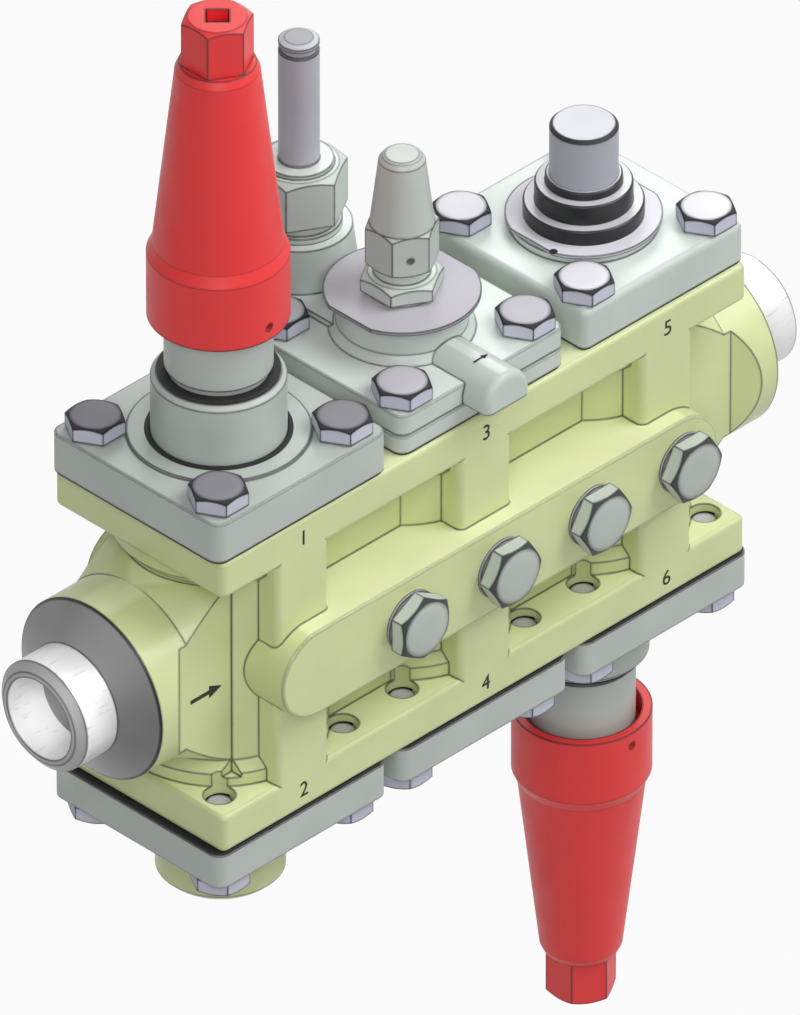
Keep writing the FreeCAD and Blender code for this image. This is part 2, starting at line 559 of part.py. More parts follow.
def casting():
    """The casting: columns, flanges, pillars, port ribs, pipe necks and flow passages."""
    body = new_body("valve_body", SECOND)
    inside = "(flange_top - flange_thickness / 2)"
    foot_end = "(column_foot_start + column_foot_radius - column_radius)"

    web = new_sketch(body, "web_outline")
    polygon(web, [
        ("-pitch", f"-{inside}"), ("pitch", f"-{inside}"), ("pitch", inside), ("-pitch", inside),
    ])
    pad(body, web, "2 * web_half_depth", "web", symmetric=True)

    for number, place in enumerate(["-pitch", "0", "pitch"]):
        turn(body, [
            ("0", f"-{inside}"), ("column_foot_radius", f"-{inside}"),
            ("column_foot_radius", f"-{foot_end}"), ("column_radius", "-column_foot_start"),
            ("column_radius", "column_foot_start"), ("column_foot_radius", foot_end),
            ("column_foot_radius", inside), ("0", inside),
        ], f"column_{number}", along=place)

    for side, outer in (("top", "flange_top"), ("bottom", "-flange_top")):
        flange = new_sketch(body, f"{side}_flange_outline", "XY_Plane", lift=outer)
        rounded_rectangle(flange, "(pitch + flange_overhang)", "flange_half_depth", "corner_round")
        pad(body, flange, "flange_thickness", f"{side}_flange", reverse=side == "top")
    levels = [value(level) for level in ("flange_top", "flange_top - flange_thickness")]
    far, deep = value("pitch + flange_overhang"), value("flange_half_depth")

    def flange_edge(edge):
        """Tell whether an edge runs round the outside of a flange."""
        box = edge.BoundBox
        outside = abs(max(box.XMax, -box.XMin) - far) < STOP or abs(max(box.YMax, -box.YMin) - deep) < STOP
        return outside and any(lies_at(edge, "z", sign * level) for sign in (-1, 1) for level in levels)

    round_edges(body, "edge_round", flange_edge, "flange_edges")

    for number, place in enumerate(["-pitch", "0", "pitch"]):
        pillar = new_sketch(body, f"pillar_{number}_outline", "XY_Plane", lift=f"-{inside}")
        rounded_rectangle(pillar, "pillar_half_width", "flange_half_depth", "corner_round", place)
        pad(body, pillar, f"2 * {inside}", f"pillar_{number}")

    rib = new_sketch(body, "rib_outline")
    slot(rib, "pitch", "rib_half_height")
    pad(body, rib, "2 * rib_reach", "port_rib", symmetric=True)
    faces = [sign * value("rib_reach") for sign in (-1, 1)]
    round_edges(body, "rib_edge", lambda edge: any(lies_at(edge, "y", face) for face in faces), "rib_edges")

    for side, sign in (("inlet", "-1"), ("outlet", "1")):
        neck_end = f"{sign} * (pitch + neck_length)"
        neck_start = f"{sign} * (pitch + neck_round_part)"
        square = f"{sign} * (pitch + shoulder_start)"
        neck_outline = [(neck_end, "0"), (neck_end, "neck_radius"), (square, "neck_radius"), (square, "0")]
        turn(body, neck_outline, f"{side}_neck", axis="H_Axis")
        round_end = new_sketch(body, f"{side}_shoulder_round_end", "YZ_Plane", lift=neck_start)
        rounded_rectangle(round_end, "neck_radius", "neck_radius", "(neck_radius - shoulder_flat)")
        square_end = new_sketch(body, f"{side}_shoulder_square_end", "YZ_Plane", lift=square)
        rounded_rectangle(square_end, "shoulder_half", "shoulder_half", "shoulder_round")
        shoulder = grow(body, "PartDesign::AdditiveLoft", f"{side}_shoulder", round_end)
        shoulder.Sections = [square_end]
        shoulder.Ruled = True
        run = "(shoulder_half - arrow_pad_offset + overlap)"
        for face, front in (("front", "-1"), ("rear", "1")):
            pad_cut = new_sketch(body, f"{side}_{face}_pad_outline", "XY_Plane")
            corners = [
                ("shoulder_start", "arrow_pad_offset"), ("arrow_pad_end", "arrow_pad_offset"),
                (f"(arrow_pad_end + {run})", f"(arrow_pad_offset + {run})"),
                ("shoulder_start", f"(arrow_pad_offset + {run})"),
            ]
            polygon(pad_cut, [(f"{sign} * (pitch + {x})", f"{front} * {y}") for x, y in corners])
            pocket(body, pad_cut, "2 * arrow_pad_half_height", f"{side}_{face}_pad", symmetric=True)

    centres = [(f"({shift} + {x})", y) for shift in ("-pitch", "0", "pitch") for x, y in SCREWS]
    for side, outer in (("top", "flange_top"), ("bottom", "-flange_top")):
        holes = new_sketch(body, f"{side}_screw_places", "XY_Plane", lift=outer)
        circles(holes, [(x, y, "screw_radius") for x, y in centres])
        pocket(body, holes, "screw_hole_depth", f"{side}_screw_holes", reverse=side == "bottom")

    for number, place in enumerate(["-pitch", "0", "pitch"]):
        bore(body, [
            ("0", "flange_top"), ("cavity_radius", "flange_top"), ("cavity_radius", "partition_half"),
            ("port_radius", "partition_half"), ("port_radius", "-partition_half"),
            ("cavity_radius", "-partition_half"), ("cavity_radius", "-flange_top"),
            ("0", "-flange_top"),
        ], f"cavity_{number}", along=place)

    reach = "(pitch + neck_length + stub_length - bore_length)"
    for side, sign in (("inlet", -1), ("outlet", 1)):
        outer_end, inner_end = f"{sign} * (pitch + neck_length)", f"{sign} * {reach}"
        ends = [(outer_end, "0"), (outer_end, "bore_radius"), (inner_end, "bore_radius"), (inner_end, "0")]
        bore(body, ends, f"{side}_bore", axis="H_Axis")
        start = (f"{sign} * ({reach} + end_passage_overlap)", f"{-sign} * end_passage_start")
        end = (f"{sign} * (pitch + passage_inset)", f"{-sign} * end_passage_rise")
        sloping_bore(body, f"{side}_passage", start, end, "end_passage_radius")
    for number, start in enumerate(["-pitch", "0"]):
        sloping_bore(body, f"cross_passage_{number}", (f"({start} + passage_inset)", "-passage_rise"),
                     (f"({start} + pitch - passage_inset)", "passage_rise"), "passage_radius")

    for name, radius, depth in (("ports", "test_port_radius", "test_port_depth"),
                                ("drillings", "test_drill_radius", "(rib_reach - test_drill_end)")):
        ports = new_sketch(body, f"{name}_places", "XZ_Plane", lift="rib_reach")
        circles(ports, [(x, "0", radius) for x in ("-pitch / 2", "0", "pitch / 2", "pitch")])
        pocket(body, ports, depth, name)
    keep("valve_body", body)


def sloping_bore(body, name, start, end, radius):
    """Cut a round passage between two (x, z) places in the mid plane."""
    run, rise = f"({end[0]} - ({start[0]}))", f"({end[1]} - ({start[1]}))"
    feature = body.newObject("PartDesign::SubtractiveCylinder", name)
    feature.Placement.Rotation = FreeCAD.Rotation(FreeCAD.Vector(0, 1, 0), 45)
    feature.setExpression("Placement.Base.x", bind(start[0]))
    feature.setExpression("Placement.Base.z", bind(start[1]))
    feature.setExpression("Placement.Rotation.Angle", f"atan2({bind(run)}; {bind(rise)})")
    feature.setExpression("Height", f"sqrt({bind(run)}^2 + {bind(rise)}^2)")
    feature.setExpression("Radius", bind(radius))
    return checked_cut(body, feature)


def weld_ends():
    """The two weld ends: a machined cone, a short pipe and its weld bevel."""
    for name, turned in (("inlet_stub", False), ("outlet_stub", True)):
        body = new_body(name)
        turn(body, [
            ("0", "bore_radius"), ("0", "(bore_radius + root_land)"), ("bevel_length", "pipe_radius"),
            ("(stub_length - cone_length)", "pipe_radius"), ("stub_length", "neck_radius"),
            ("stub_length", "bore_radius"),
        ], "weld_end", axis="H_Axis")
        if turned:
            body.Placement.Rotation = FreeCAD.Rotation(FreeCAD.Vector(0, 0, 1), 180)
            body.setExpression("Placement.Base.x", bind(OUTLET_END))
        keep(name, body)


def side_plugs():
    """Four hexagon plugs and their washers on the front of the port rib."""
    plugs, washers = [], []
    places = [f"({SECOND} + {step} * pitch / 2)" for step in (-1, 0, 1, 2)]
    for number, place in enumerate(places, start=1):
        upright = FreeCAD.Rotation(FreeCAD.Vector(1, 0, 0), 90)
        plug = new_body(f"side_plug_{number}", place)
        sole = "(rib_reach + plug_washer)"
        head = new_sketch(plug, "head_outline", "XY_Plane", lift=sole)
        hexagon(head, "plug_flats", point_along_x=number > 1)
        pad(plug, head, "plug_head", "head")
        chamfer_hexagon(plug, "plug_flats", f"({sole} + plug_head)")
        shank = new_sketch(plug, "shank_outline", "XY_Plane", lift=sole)
        circles(shank, [("0", "0", "(test_port_radius - running_clearance)")])
        pad(plug, shank, "(plug_length + plug_washer)", "shank", reverse=True)
        washer = new_body(f"plug_washer_{number}", place)
        ring = new_sketch(washer, "ring_outline", "XY_Plane", lift="rib_reach")
        circles(ring, [
            ("0", "0", "plug_washer_radius"), ("0", "0", "(test_port_radius + running_clearance)"),
        ])
        pad(washer, ring, "plug_washer", "ring")
        for piece in (plug, washer):
            piece.Placement.Rotation = upright
        plugs.append(plug)
        washers.append(washer)
    group("side_plugs", plugs)
    group("plug_washers", washers)


def cover_gasket(name, column, half, corner, under=False):
    """A flat gasket the size of its cover."""
    body = new_body(name, column, under)
    outline = new_sketch(body, "outline", "XY_Plane", lift="flange_top")
    rounded_rectangle(outline, f"({half} - gasket_inset)", f"({half} - gasket_inset)", corner)
    holes = [(x, y, "(screw_radius + screw_clearance)") for x, y in SCREWS]
    circles(outline, [("0", "0", "cavity_radius"), *holes])
    pad(body, outline, "gasket", "gasket")
    keep(name, body)


def cover_screws(name, column, seat, under=False):
    """Four hexagon screws at the corners of a cover."""
    screws = []
    for number, (x, y) in enumerate(SCREWS, start=1):
        body = new_body(f"{name}_{number}", f"({column} + {x})", under)
        body.setExpression("Placement.Base.y", bind(y))
        head = new_sketch(body, "head_outline", "XY_Plane", lift=seat)
        hexagon(head, "screw_flats")
        pad(body, head, "screw_head", "head")
        chamfer_hexagon(body, "screw_flats", f"({seat} + screw_head)")
        shank = new_sketch(body, "shank_outline", "XY_Plane", lift=seat)
        circles(shank, [("0", "0", "(screw_radius - running_clearance)")])
        pad(body, shank, f"({seat} - flange_top + screw_grip)", "shank", reverse=True)
        screws.append(body)
    group(name, screws)


def square_plate(body, half, corner, bottom, thickness, edge="cover_edge"):
    """A square cover plate with a rounded top edge."""
    outline = new_sketch(body, "plate_outline", "XY_Plane", lift=bottom)
    rounded_rectangle(outline, half, half, corner)
    pad(body, outline, thickness, "plate")
    top = value(f"{bottom} + {thickness}")
    round_edges(body, edge, lambda item: lies_at(item, "z", top), "plate_edge")


def screw_holes(body, top, depth):
    """Clearance holes for the four cover screws."""
    holes = new_sketch(body, "screw_places", "XY_Plane", lift=top)
    circles(holes, [(x, y, "(screw_radius + screw_clearance)") for x, y in SCREWS])
    pocket(body, holes, depth, "screw_holes")


def stop_valve(prefix, cap_name, column, plate, under):
    """A hand stop valve: bonnet, cone, spindle, packing, gland and red cap."""
    top = f"({SEAT} + {plate})"
    shoulder = f"({SEAT} + bonnet_rise)"
    groove = f"({shoulder} + bonnet_chamfer)"
    thread_top = f"({SEAT} + neck_thread_rise)"
    thread_bore_end = f"({shoulder} + spindle_bore_rise)"
    packing_floor = f"({SEAT} + packing_rise)"
    gland_floor = f"({packing_floor} + packing)"

    bonnet = new_body(f"{prefix}_bonnet", column, under)
    square_plate(bonnet, "cover_half", "cover_corner", SEAT, plate)
    turn(bonnet, [
        ("0", SPIGOT_END), (SPIGOT_RADIUS, SPIGOT_END), (SPIGOT_RADIUS, f"({SEAT} + {plate} / 2)"),
        ("land_radius", f"({SEAT} + {plate} / 2)"), ("land_radius", f"({top} + land_height)"),
        ("bonnet_radius", f"({top} + land_height)"), ("bonnet_radius", shoulder),
        ("(bonnet_radius - bonnet_chamfer)", groove), ("(neck_thread_radius - undercut)", groove),
        ("(neck_thread_radius - undercut)", f"({groove} + undercut_height)"),
        ("neck_thread_radius", f"({groove} + undercut_height + undercut / 2)"),
        ("neck_thread_radius", f"({thread_top} - thread_chamfer)"),
        ("(neck_thread_radius - thread_chamfer)", thread_top), ("0", thread_top),
    ], "neck")
    bore(bonnet, [
        ("0", SPIGOT_END), ("(spindle_radius + running_clearance)", SPIGOT_END),
        ("(spindle_radius + running_clearance)", thread_bore_end),
        ("(stem_radius + running_clearance)", thread_bore_end),
        ("(stem_radius + running_clearance)", packing_floor), ("packing_radius", packing_floor),
        ("packing_radius", thread_top), ("0", thread_top),
    ], "spindle_bore")
    screw_holes(bonnet, top, f"{plate}")
    keep(f"{prefix}_bonnet", bonnet)

    ring = new_body(f"{prefix}_packing", column, under)
    outline = new_sketch(ring, "ring_outline", "XY_Plane", lift=packing_floor)
    circles(outline, [("0", "0", "packing_radius"), ("0", "0", "(stem_radius + running_clearance)")])
    pad(ring, outline, "packing", "ring")
    keep(f"{prefix}_packing", ring)

    gland = new_body(f"{prefix}_gland", column, under)
    outline = new_sketch(gland, "sleeve_outline", "XY_Plane", lift=gland_floor)
    circles(outline, [("0", "0", "packing_radius")])
    pad(gland, outline, f"({thread_top} - {gland_floor})", "sleeve")
    head = new_sketch(gland, "head_outline", "XY_Plane", lift=thread_top)
    hexagon(head, "gland_flats")
    pad(gland, head, "gland_head", "head")
    chamfer_hexagon(gland, "gland_flats", f"({thread_top} + gland_head)")
    through = new_sketch(gland, "stem_hole_outline", "XY_Plane", lift=f"({thread_top} + gland_head)")
    circles(through, [("0", "0", "(stem_radius + running_clearance)")])
    pocket(gland, through, f"({thread_top} + gland_head - {gland_floor})", "stem_hole")
    keep(f"{prefix}_gland", gland)

    disc_top = "(partition_half + stop_disc)"
    hub_top = "(partition_half + stop_disc + stop_hub)"
    cone = new_body(f"{prefix}_cone", column, under)
    turn(cone, [
        ("0", "(partition_half - stop_nose)"),
        ("(port_radius - stop_nose / 2)", "(partition_half - stop_nose)"),
        ("(port_radius - free_gap)", "partition_half"), ("stop_disc_radius", "partition_half"),
        ("stop_disc_radius", disc_top), ("stop_hub_radius", disc_top), ("stop_hub_radius", hub_top),
        ("(foot_radius + running_clearance)", hub_top),
        ("(foot_radius + running_clearance)", f"({hub_top} - foot_depth)"),
        ("0", f"({hub_top} - foot_depth)"),
    ], "cone")
    keep(f"{prefix}_cone", cone)

    shank_top = f"({thread_bore_end} - stop_lift - lift_reserve)"
    stem_top = f"({SEAT} + stem_rise)"
    foot = f"({hub_top} - foot_depth + foot_play)"
    spindle = new_body(f"{prefix}_spindle", column, under)
    turn(spindle, [
        ("0", foot), ("foot_radius", foot), ("foot_radius", hub_top),
        ("spindle_radius", hub_top), ("spindle_radius", shank_top), ("stem_radius", shank_top),
        ("stem_radius", stem_top), ("0", stem_top),
    ], "stem")
    square = new_sketch(spindle, "square_outline", "XY_Plane", lift=stem_top)
    signs = ((-1, -1), (1, -1), (1, 1), (-1, 1))
    polygon(square, [(f"{a} * square_half", f"{b} * square_half") for a, b in signs])
    pad(spindle, square, "square_height", "square_end")
    keep(f"{prefix}_spindle", spindle)
    red_cap(cap_name, column, under, thread_top)


def red_cap(name, column, under, thread_top):
    """A tall cap with a collar, a long cone and a hexagon with a square hole."""
    rim = f"({SEAT} + cap_rim_rise)"
    slope = f"({rim} + cap_collar)"
    waist = f"({slope} + cap_shoulder)"
    cone_top = f"({waist} + cap_cone)"
    throat = f"({cone_top} + cap_throat)"
    end = f"({throat} + cap_hexagon)"
    cap = new_body(name, column, under)
    turn(cap, [
        ("0", rim), ("cap_collar_radius", rim), ("cap_collar_radius", slope),
        ("cap_waist_radius", waist), ("cap_top_radius", cone_top), ("cap_throat_radius", throat),
        ("0", throat),
    ], "shell")
    head = new_sketch(cap, "hexagon_outline", "XY_Plane", lift=throat)
    hexagon(head, "cap_flats")
    pad(cap, head, "cap_hexagon", "hexagon")
    chamfer_hexagon(cap, "cap_flats", end)
    inner_top = f"({thread_top} + cap_inner_height)"
    thread_start = f"({rim} + cap_mouth + cap_mouth_radius - neck_thread_radius)"
    bore(cap, [
        ("0", rim), ("cap_mouth_radius", rim), ("cap_mouth_radius", f"({rim} + cap_mouth)"),
        ("(neck_thread_radius + running_clearance)", thread_start),
        ("(neck_thread_radius + running_clearance)", thread_top), ("cap_inner_radius", thread_top),
        ("cap_inner_top_radius", inner_top), ("0", f"({inner_top} + cap_drill_point)"),
    ], "hollow")
    half = "cap_socket / sqrt(2)"
    socket = new_sketch(cap, "socket_outline", "XY_Plane", lift=end)
    polygon(socket, [("0", f"-{half}"), (half, "0"), ("0", half), (f"-{half}", "0")])
    pocket(cap, socket, "cap_socket_depth", "socket")
    vent = new_sketch(cap, "vent_outline", "XZ_Plane")
    circles(vent, [("0", f"({rim} + cap_vent_rise)", "cap_vent_radius")])
    pocket(cap, vent, "(cap_collar_radius + overlap)", "vent", reverse=not under)
    keep(name, cap)


def strainer():
    """The strainer: cover, collar, drain plug and screen."""
    cover = new_body("strainer_cover", FIRST, True)
    square_plate(cover, "cover_half", "cover_corner", SEAT, "lower_plate")
    turn(cover, [
        ("0", SPIGOT_END), (SPIGOT_RADIUS, SPIGOT_END), (SPIGOT_RADIUS, f"({SEAT} + lower_plate / 2)"),
        ("0", f"({SEAT} + lower_plate / 2)"),
    ], "spigot_disc")
    bore(cover, [
        ("0", SPIGOT_END), ("drain_radius", SPIGOT_END), ("drain_radius", LOWER_TOP), ("0", LOWER_TOP),
    ], "drain_hole")
    screw_holes(cover, LOWER_TOP, "lower_plate")
    keep("strainer_cover", cover)

    end = f"({LOWER_TOP} + strainer_collar)"
    collar = new_body("strainer_collar", FIRST, True)
    turn(collar, [
        ("drain_radius", LOWER_TOP), ("strainer_collar_radius", LOWER_TOP),
        ("strainer_collar_radius", f"({end} - strainer_chamfer)"),
        ("(strainer_collar_radius - strainer_chamfer)", end), ("drain_radius", end),
    ], "collar")
    keep("strainer_collar", collar)

    plug = new_body("drain_plug", FIRST, True)
    head = new_sketch(plug, "head_outline", "XY_Plane", lift=end)
    hexagon(head, "drain_flats")
    pad(plug, head, "drain_head", "head")
    chamfer_hexagon(plug, "drain_flats", f"({end} + drain_head)")
    shank = new_sketch(plug, "shank_outline", "XY_Plane", lift=end)
    circles(shank, [("0", "0", "(drain_radius - running_clearance)")])
    pad(plug, shank, "drain_length", "shank", reverse=True)
    keep("drain_plug", plug)

    screen = new_body("strainer_screen", FIRST, True)
    turn(screen, [
        ("(screen_radius - screen_wall)", "partition_half"), ("screen_radius", "partition_half"),
        ("screen_radius", SPIGOT_END), ("(screen_radius - screen_wall)", SPIGOT_END),
    ], "wall")
    windows = new_sketch(screen, "window_outline", "XZ_Plane")
    middle = f"((partition_half + {SPIGOT_END}) / 2)"
    for row in (-1, 0, 1):
        height = f"({middle} + {row} * 2 * screen_window)"
        half = "screen_window / 2"
        polygon(windows, [(f"-{half}", f"({height} - {half})"), (half, f"({height} - {half})"),
                          (half, f"({height} + {half})"), (f"-{half}", f"({height} + {half})")])
    cut = pocket(screen, windows, "(screen_radius + overlap)", "windows")
    spread = screen.newObject("PartDesign::PolarPattern", "window_rows")
    spread.Originals = [cut]
    spread.Axis = (windows, ["V_Axis"])
    spread.Angle = 360
    spread.Occurrences = SCREEN_COLUMNS
    screen.Tip = spread
    checked_cut(screen, spread)
    keep("strainer_screen", screen)


def guide_cage(name, column):
    """A cage in a top cavity that guides a piston or a cone, with windows for the flow."""
    outer = "(cage_bore + cage_wall)"
    cage = new_body(name, column)
    turn(cage, [
        ("cage_bore", "partition_half"), (outer, "partition_half"),
        (outer, f"({SPIGOT_END} - spigot)"), (SPIGOT_RADIUS, f"({SPIGOT_END} - spigot)"),
        (SPIGOT_RADIUS, SPIGOT_END), ("cage_bore", SPIGOT_END),
    ], "sleeve")
    foot = "(partition_half + cage_window_rise)"
    head = f"({foot} + cage_window)"
    windows = new_sketch(cage, "window_outline", "XZ_Plane")
    polygon(windows, [
        ("-cage_window_half", foot), ("cage_window_half", foot), ("cage_window_half", head),
        ("-cage_window_half", head),
    ])
    cut = pocket(cage, windows, f"({outer} + overlap)", "window")
    spread = cage.newObject("PartDesign::PolarPattern", "windows")
    spread.Originals = [cut]
    spread.Axis = (windows, ["V_Axis"])
    spread.Angle = 360
    spread.Occurrences = CAGE_WINDOWS
    cage.Tip = spread
    checked_cut(cage, spread)
    keep(name, cage)


def coil_spring(name, column, under, bottom, top, coil, wire, turns, shift_y=None):
    """A compression spring between two heights."""
    spring = new_body(name, column, under)
    if shift_y:
        spring.setExpression("Placement.Base.y", bind(shift_y))
    section = new_sketch(spring, "wire_outline", "XZ_Plane")
    circles(section, [(coil, f"({bottom} + {wire})", wire)])
    helix = grow(spring, "PartDesign::AdditiveHelix", "coils", section)
    helix.ReferenceAxis = (section, ["V_Axis"])
    helix.Mode = "height-turns-angle"
    helix.setExpression("Height", bind(f"({top} - {bottom} - 2 * {wire})"))
    helix.Turns = turns
    keep(name, spring)


def solenoid_valve():
    """The solenoid valve: two cover layers, pilot, cage, piston and manual opener."""
    layer_top = f"({SEAT} + solenoid_layer)"
    seam_top = f"({layer_top} + solenoid_seam)"
    top = SOLENOID_TOP

    base = new_body("solenoid_base", SECOND)
    square_plate(base, "solenoid_half", "solenoid_corner", SEAT, "solenoid_layer")
    turn(base, [
        ("0", SPIGOT_END), (SPIGOT_RADIUS, SPIGOT_END),
        (SPIGOT_RADIUS, f"({SEAT} + solenoid_layer / 2)"), ("0", f"({SEAT} + solenoid_layer / 2)"),
    ], "spigot_disc")
    bore(base, [("0", SPIGOT_END), ("(opener_stem_radius + running_clearance)", SPIGOT_END),
                ("(opener_stem_radius + running_clearance)", layer_top), ("0", layer_top)], "stem_hole")
    screw_holes(base, layer_top, "solenoid_layer")
    keep("solenoid_base", base)

    seam = new_body("solenoid_seal", SECOND)
    outline = new_sketch(seam, "outline", "XY_Plane", lift=layer_top)
    seam_half = "(solenoid_half - solenoid_seam_inset)"
    rounded_rectangle(outline, seam_half, seam_half, "solenoid_corner")
    holes = [(x, y, "(screw_radius + screw_clearance)") for x, y in SCREWS]
    circles(outline, [("0", "0", "solenoid_seam_hole"), *holes])
    pad(seam, outline, "solenoid_seam", "seal")
    keep("solenoid_seal", seam)

    cover = new_body("solenoid_cover", SECOND)
    square_plate(cover, "solenoid_half", "solenoid_corner", seam_top, "solenoid_plate")
    dome_top = f"({top} + dome_height)"
    turn(cover, [
        ("0", f"({top} - overlap)"), ("dome_foot_radius", f"({top} - overlap)"),
        ("dome_foot_radius", top), ("dome_slope_radius", f"({top} + dome_slope)"),
        ("dome_radius", dome_top), ("0", dome_top),
    ], "dome")
    pilot_end = f"({top} + pilot_height)"
    pilot = new_sketch(cover, "pilot_outline", "YZ_Plane")
    polygon(pilot, [
        ("pilot_offset", seam_top), ("(pilot_offset + pilot_foot_radius)", seam_top),
        ("(pilot_offset + pilot_foot_radius)", f"({top} + pilot_foot)"),
        ("(pilot_offset + pilot_radius)", pilot_end), ("pilot_offset", pilot_end),
    ])
    foot = FreeCAD.Vector(value("pilot_offset"), 0, 0)
    head = foot + FreeCAD.Vector(0, value("pilot_height"), 0)
    axis = pilot.addGeometry(Part.LineSegment(foot, head), True)
    drive(pilot, [
        (("DistanceX", -1, 1, axis, 1), "pilot_offset"),
        (("DistanceY", -1, 1, axis, 1), "0"),
        (("Vertical", axis), None),
        (("DistanceY", axis, 1, axis, 2), "pilot_height"),
    ])
    boss = grow(cover, "PartDesign::Revolution", "pilot_boss", pilot)
    boss.ReferenceAxis = (pilot, ["Axis0"])
    boss.Angle = 360
    bridge = new_sketch(cover, "bridge_outline", "XY_Plane", lift=seam_top)
    polygon(bridge, [
        ("-pilot_radius", "0"), ("pilot_radius", "0"), ("pilot_radius", "pilot_offset"),
        ("-pilot_radius", "pilot_offset"),
    ])
    pad(cover, bridge, "(solenoid_plate + pilot_foot)", "bridge")
    channel_axis = f"({top} - channel_height)"
    channel = new_sketch(cover, "channel_outline", "XZ_Plane", lift="dome_radius / 2")
    circles(channel, [("0", channel_axis, "channel_radius")])
    pad(cover, channel, "(channel_reach - dome_radius / 2)", "channel")
    face = -value("channel_reach")
    round_edges(cover, "channel_round", lambda edge: lies_at(edge, "y", face), "channel_end")
    trim = new_sketch(cover, "channel_trim", "XZ_Plane")
    reach = "(channel_radius + overlap)"
    below = f"({channel_axis} - {reach})"
    polygon(trim, [(f"-{reach}", seam_top), (reach, seam_top), (reach, below), (f"-{reach}", below)])
    pocket(cover, trim, "(channel_reach + overlap)", "channel_flat", reverse=True)
    bore(cover, [("0", seam_top), ("(opener_stem_radius + running_clearance)", seam_top),
                 ("(opener_stem_radius + running_clearance)", dome_top), ("0", dome_top)], "stem_hole")
    hollow = new_sketch(cover, "pilot_bore_outline", "XY_Plane", lift=pilot_end)
    circles(hollow, [("0", "pilot_offset", "pilot_thread_radius")])
    pocket(cover, hollow, "(pilot_thread + pilot_bore_rest)", "pilot_bore")
    screw_holes(cover, top, "solenoid_plate")
    keep("solenoid_cover", cover)

    pilot_column(pilot_end)
    guide_cage("solenoid_cage", SECOND)
    piston_and_opener(dome_top)


def pilot_column(pilot_end):
    """The pilot nut, the armature tube and the plunger with its spring."""
    ring_step = f"({pilot_end} + pilot_ring_step)"
    ring_top = f"({pilot_end} + pilot_ring)"
    hexagon_top = f"({ring_top} + pilot_hexagon)"
    lip_top = f"({hexagon_top} + pilot_lip)"
    thread_end = f"({pilot_end} - pilot_thread)"
    foot = f"({thread_end} + armature_seat)"
    tube_hole = "(armature_root_radius + running_clearance)"

    nut = new_body("pilot_nut", SECOND)
    nut.setExpression("Placement.Base.y", bind("pilot_offset"))
    turn(nut, [
        ("0", thread_end), ("(pilot_thread_radius - running_clearance)", thread_end),
        ("(pilot_thread_radius - running_clearance)", pilot_end), ("pilot_ring_radius", pilot_end),
        ("pilot_ring_radius", ring_step), ("(pilot_ring_radius - pilot_ring_inset)", ring_step),
        ("(pilot_ring_radius - pilot_ring_inset)", ring_top), ("pilot_lip_radius", ring_top),
        ("pilot_lip_radius", lip_top), ("0", lip_top),
    ], "core")
    head = new_sketch(nut, "hexagon_outline", "XY_Plane", lift=ring_top)
    hexagon(head, "pilot_flats")
    pad(nut, head, "pilot_hexagon", "hexagon")
    chamfer_hexagon(nut, "pilot_flats", hexagon_top)
    bore(nut, [
        ("0", thread_end), ("pilot_orifice_radius", thread_end), ("pilot_orifice_radius", foot),
        (tube_hole, foot), (tube_hole, lip_top), ("0", lip_top),
    ], "tube_hole")
    keep("pilot_nut", nut)

    end = f"({lip_top} + armature_rise)"
    seat = f"({lip_top} + armature_relief)"
    inner = "(armature_radius - armature_wall)"
    groove = f"({end} - armature_groove_drop)"
    tube = new_body("armature_tube", SECOND)
    tube.setExpression("Placement.Base.y", bind("pilot_offset"))
    turn(tube, [
        (inner, foot), ("armature_root_radius", foot), ("armature_root_radius", seat),
        ("armature_radius", seat),
        ("armature_radius", f"({groove} - armature_groove_height / 2)"),
        ("(armature_radius - armature_groove)", f"({groove} - armature_groove_height / 2)"),
        ("(armature_radius - armature_groove)", f"({groove} + armature_groove_height / 2)"),
        ("armature_radius", f"({groove} + armature_groove_height / 2)"),
        ("armature_radius", f"({end} - armature_tip)"), ("armature_tip_radius", end), ("0", end),
        ("0", f"({end} - armature_top)"), (inner, f"({end} - armature_top)"),
    ], "tube")
    keep("armature_tube", tube)

    plunger = new_body("plunger", SECOND)
    plunger.setExpression("Placement.Base.y", bind("pilot_offset"))
    radius = f"({inner} - running_clearance)"
    turn(plunger, [
        ("0", foot), ("plunger_tip_radius", foot), (radius, f"({foot} + plunger_tip)"),
        (radius, f"({foot} + plunger_length)"), ("0", f"({foot} + plunger_length)"),
    ], "plunger")
    keep("plunger", plunger)
    coil_spring("plunger_spring", SECOND, False, f"({foot} + plunger_length)", f"({end} - armature_top)",
                "plunger_coil", "plunger_wire", 7, "pilot_offset")


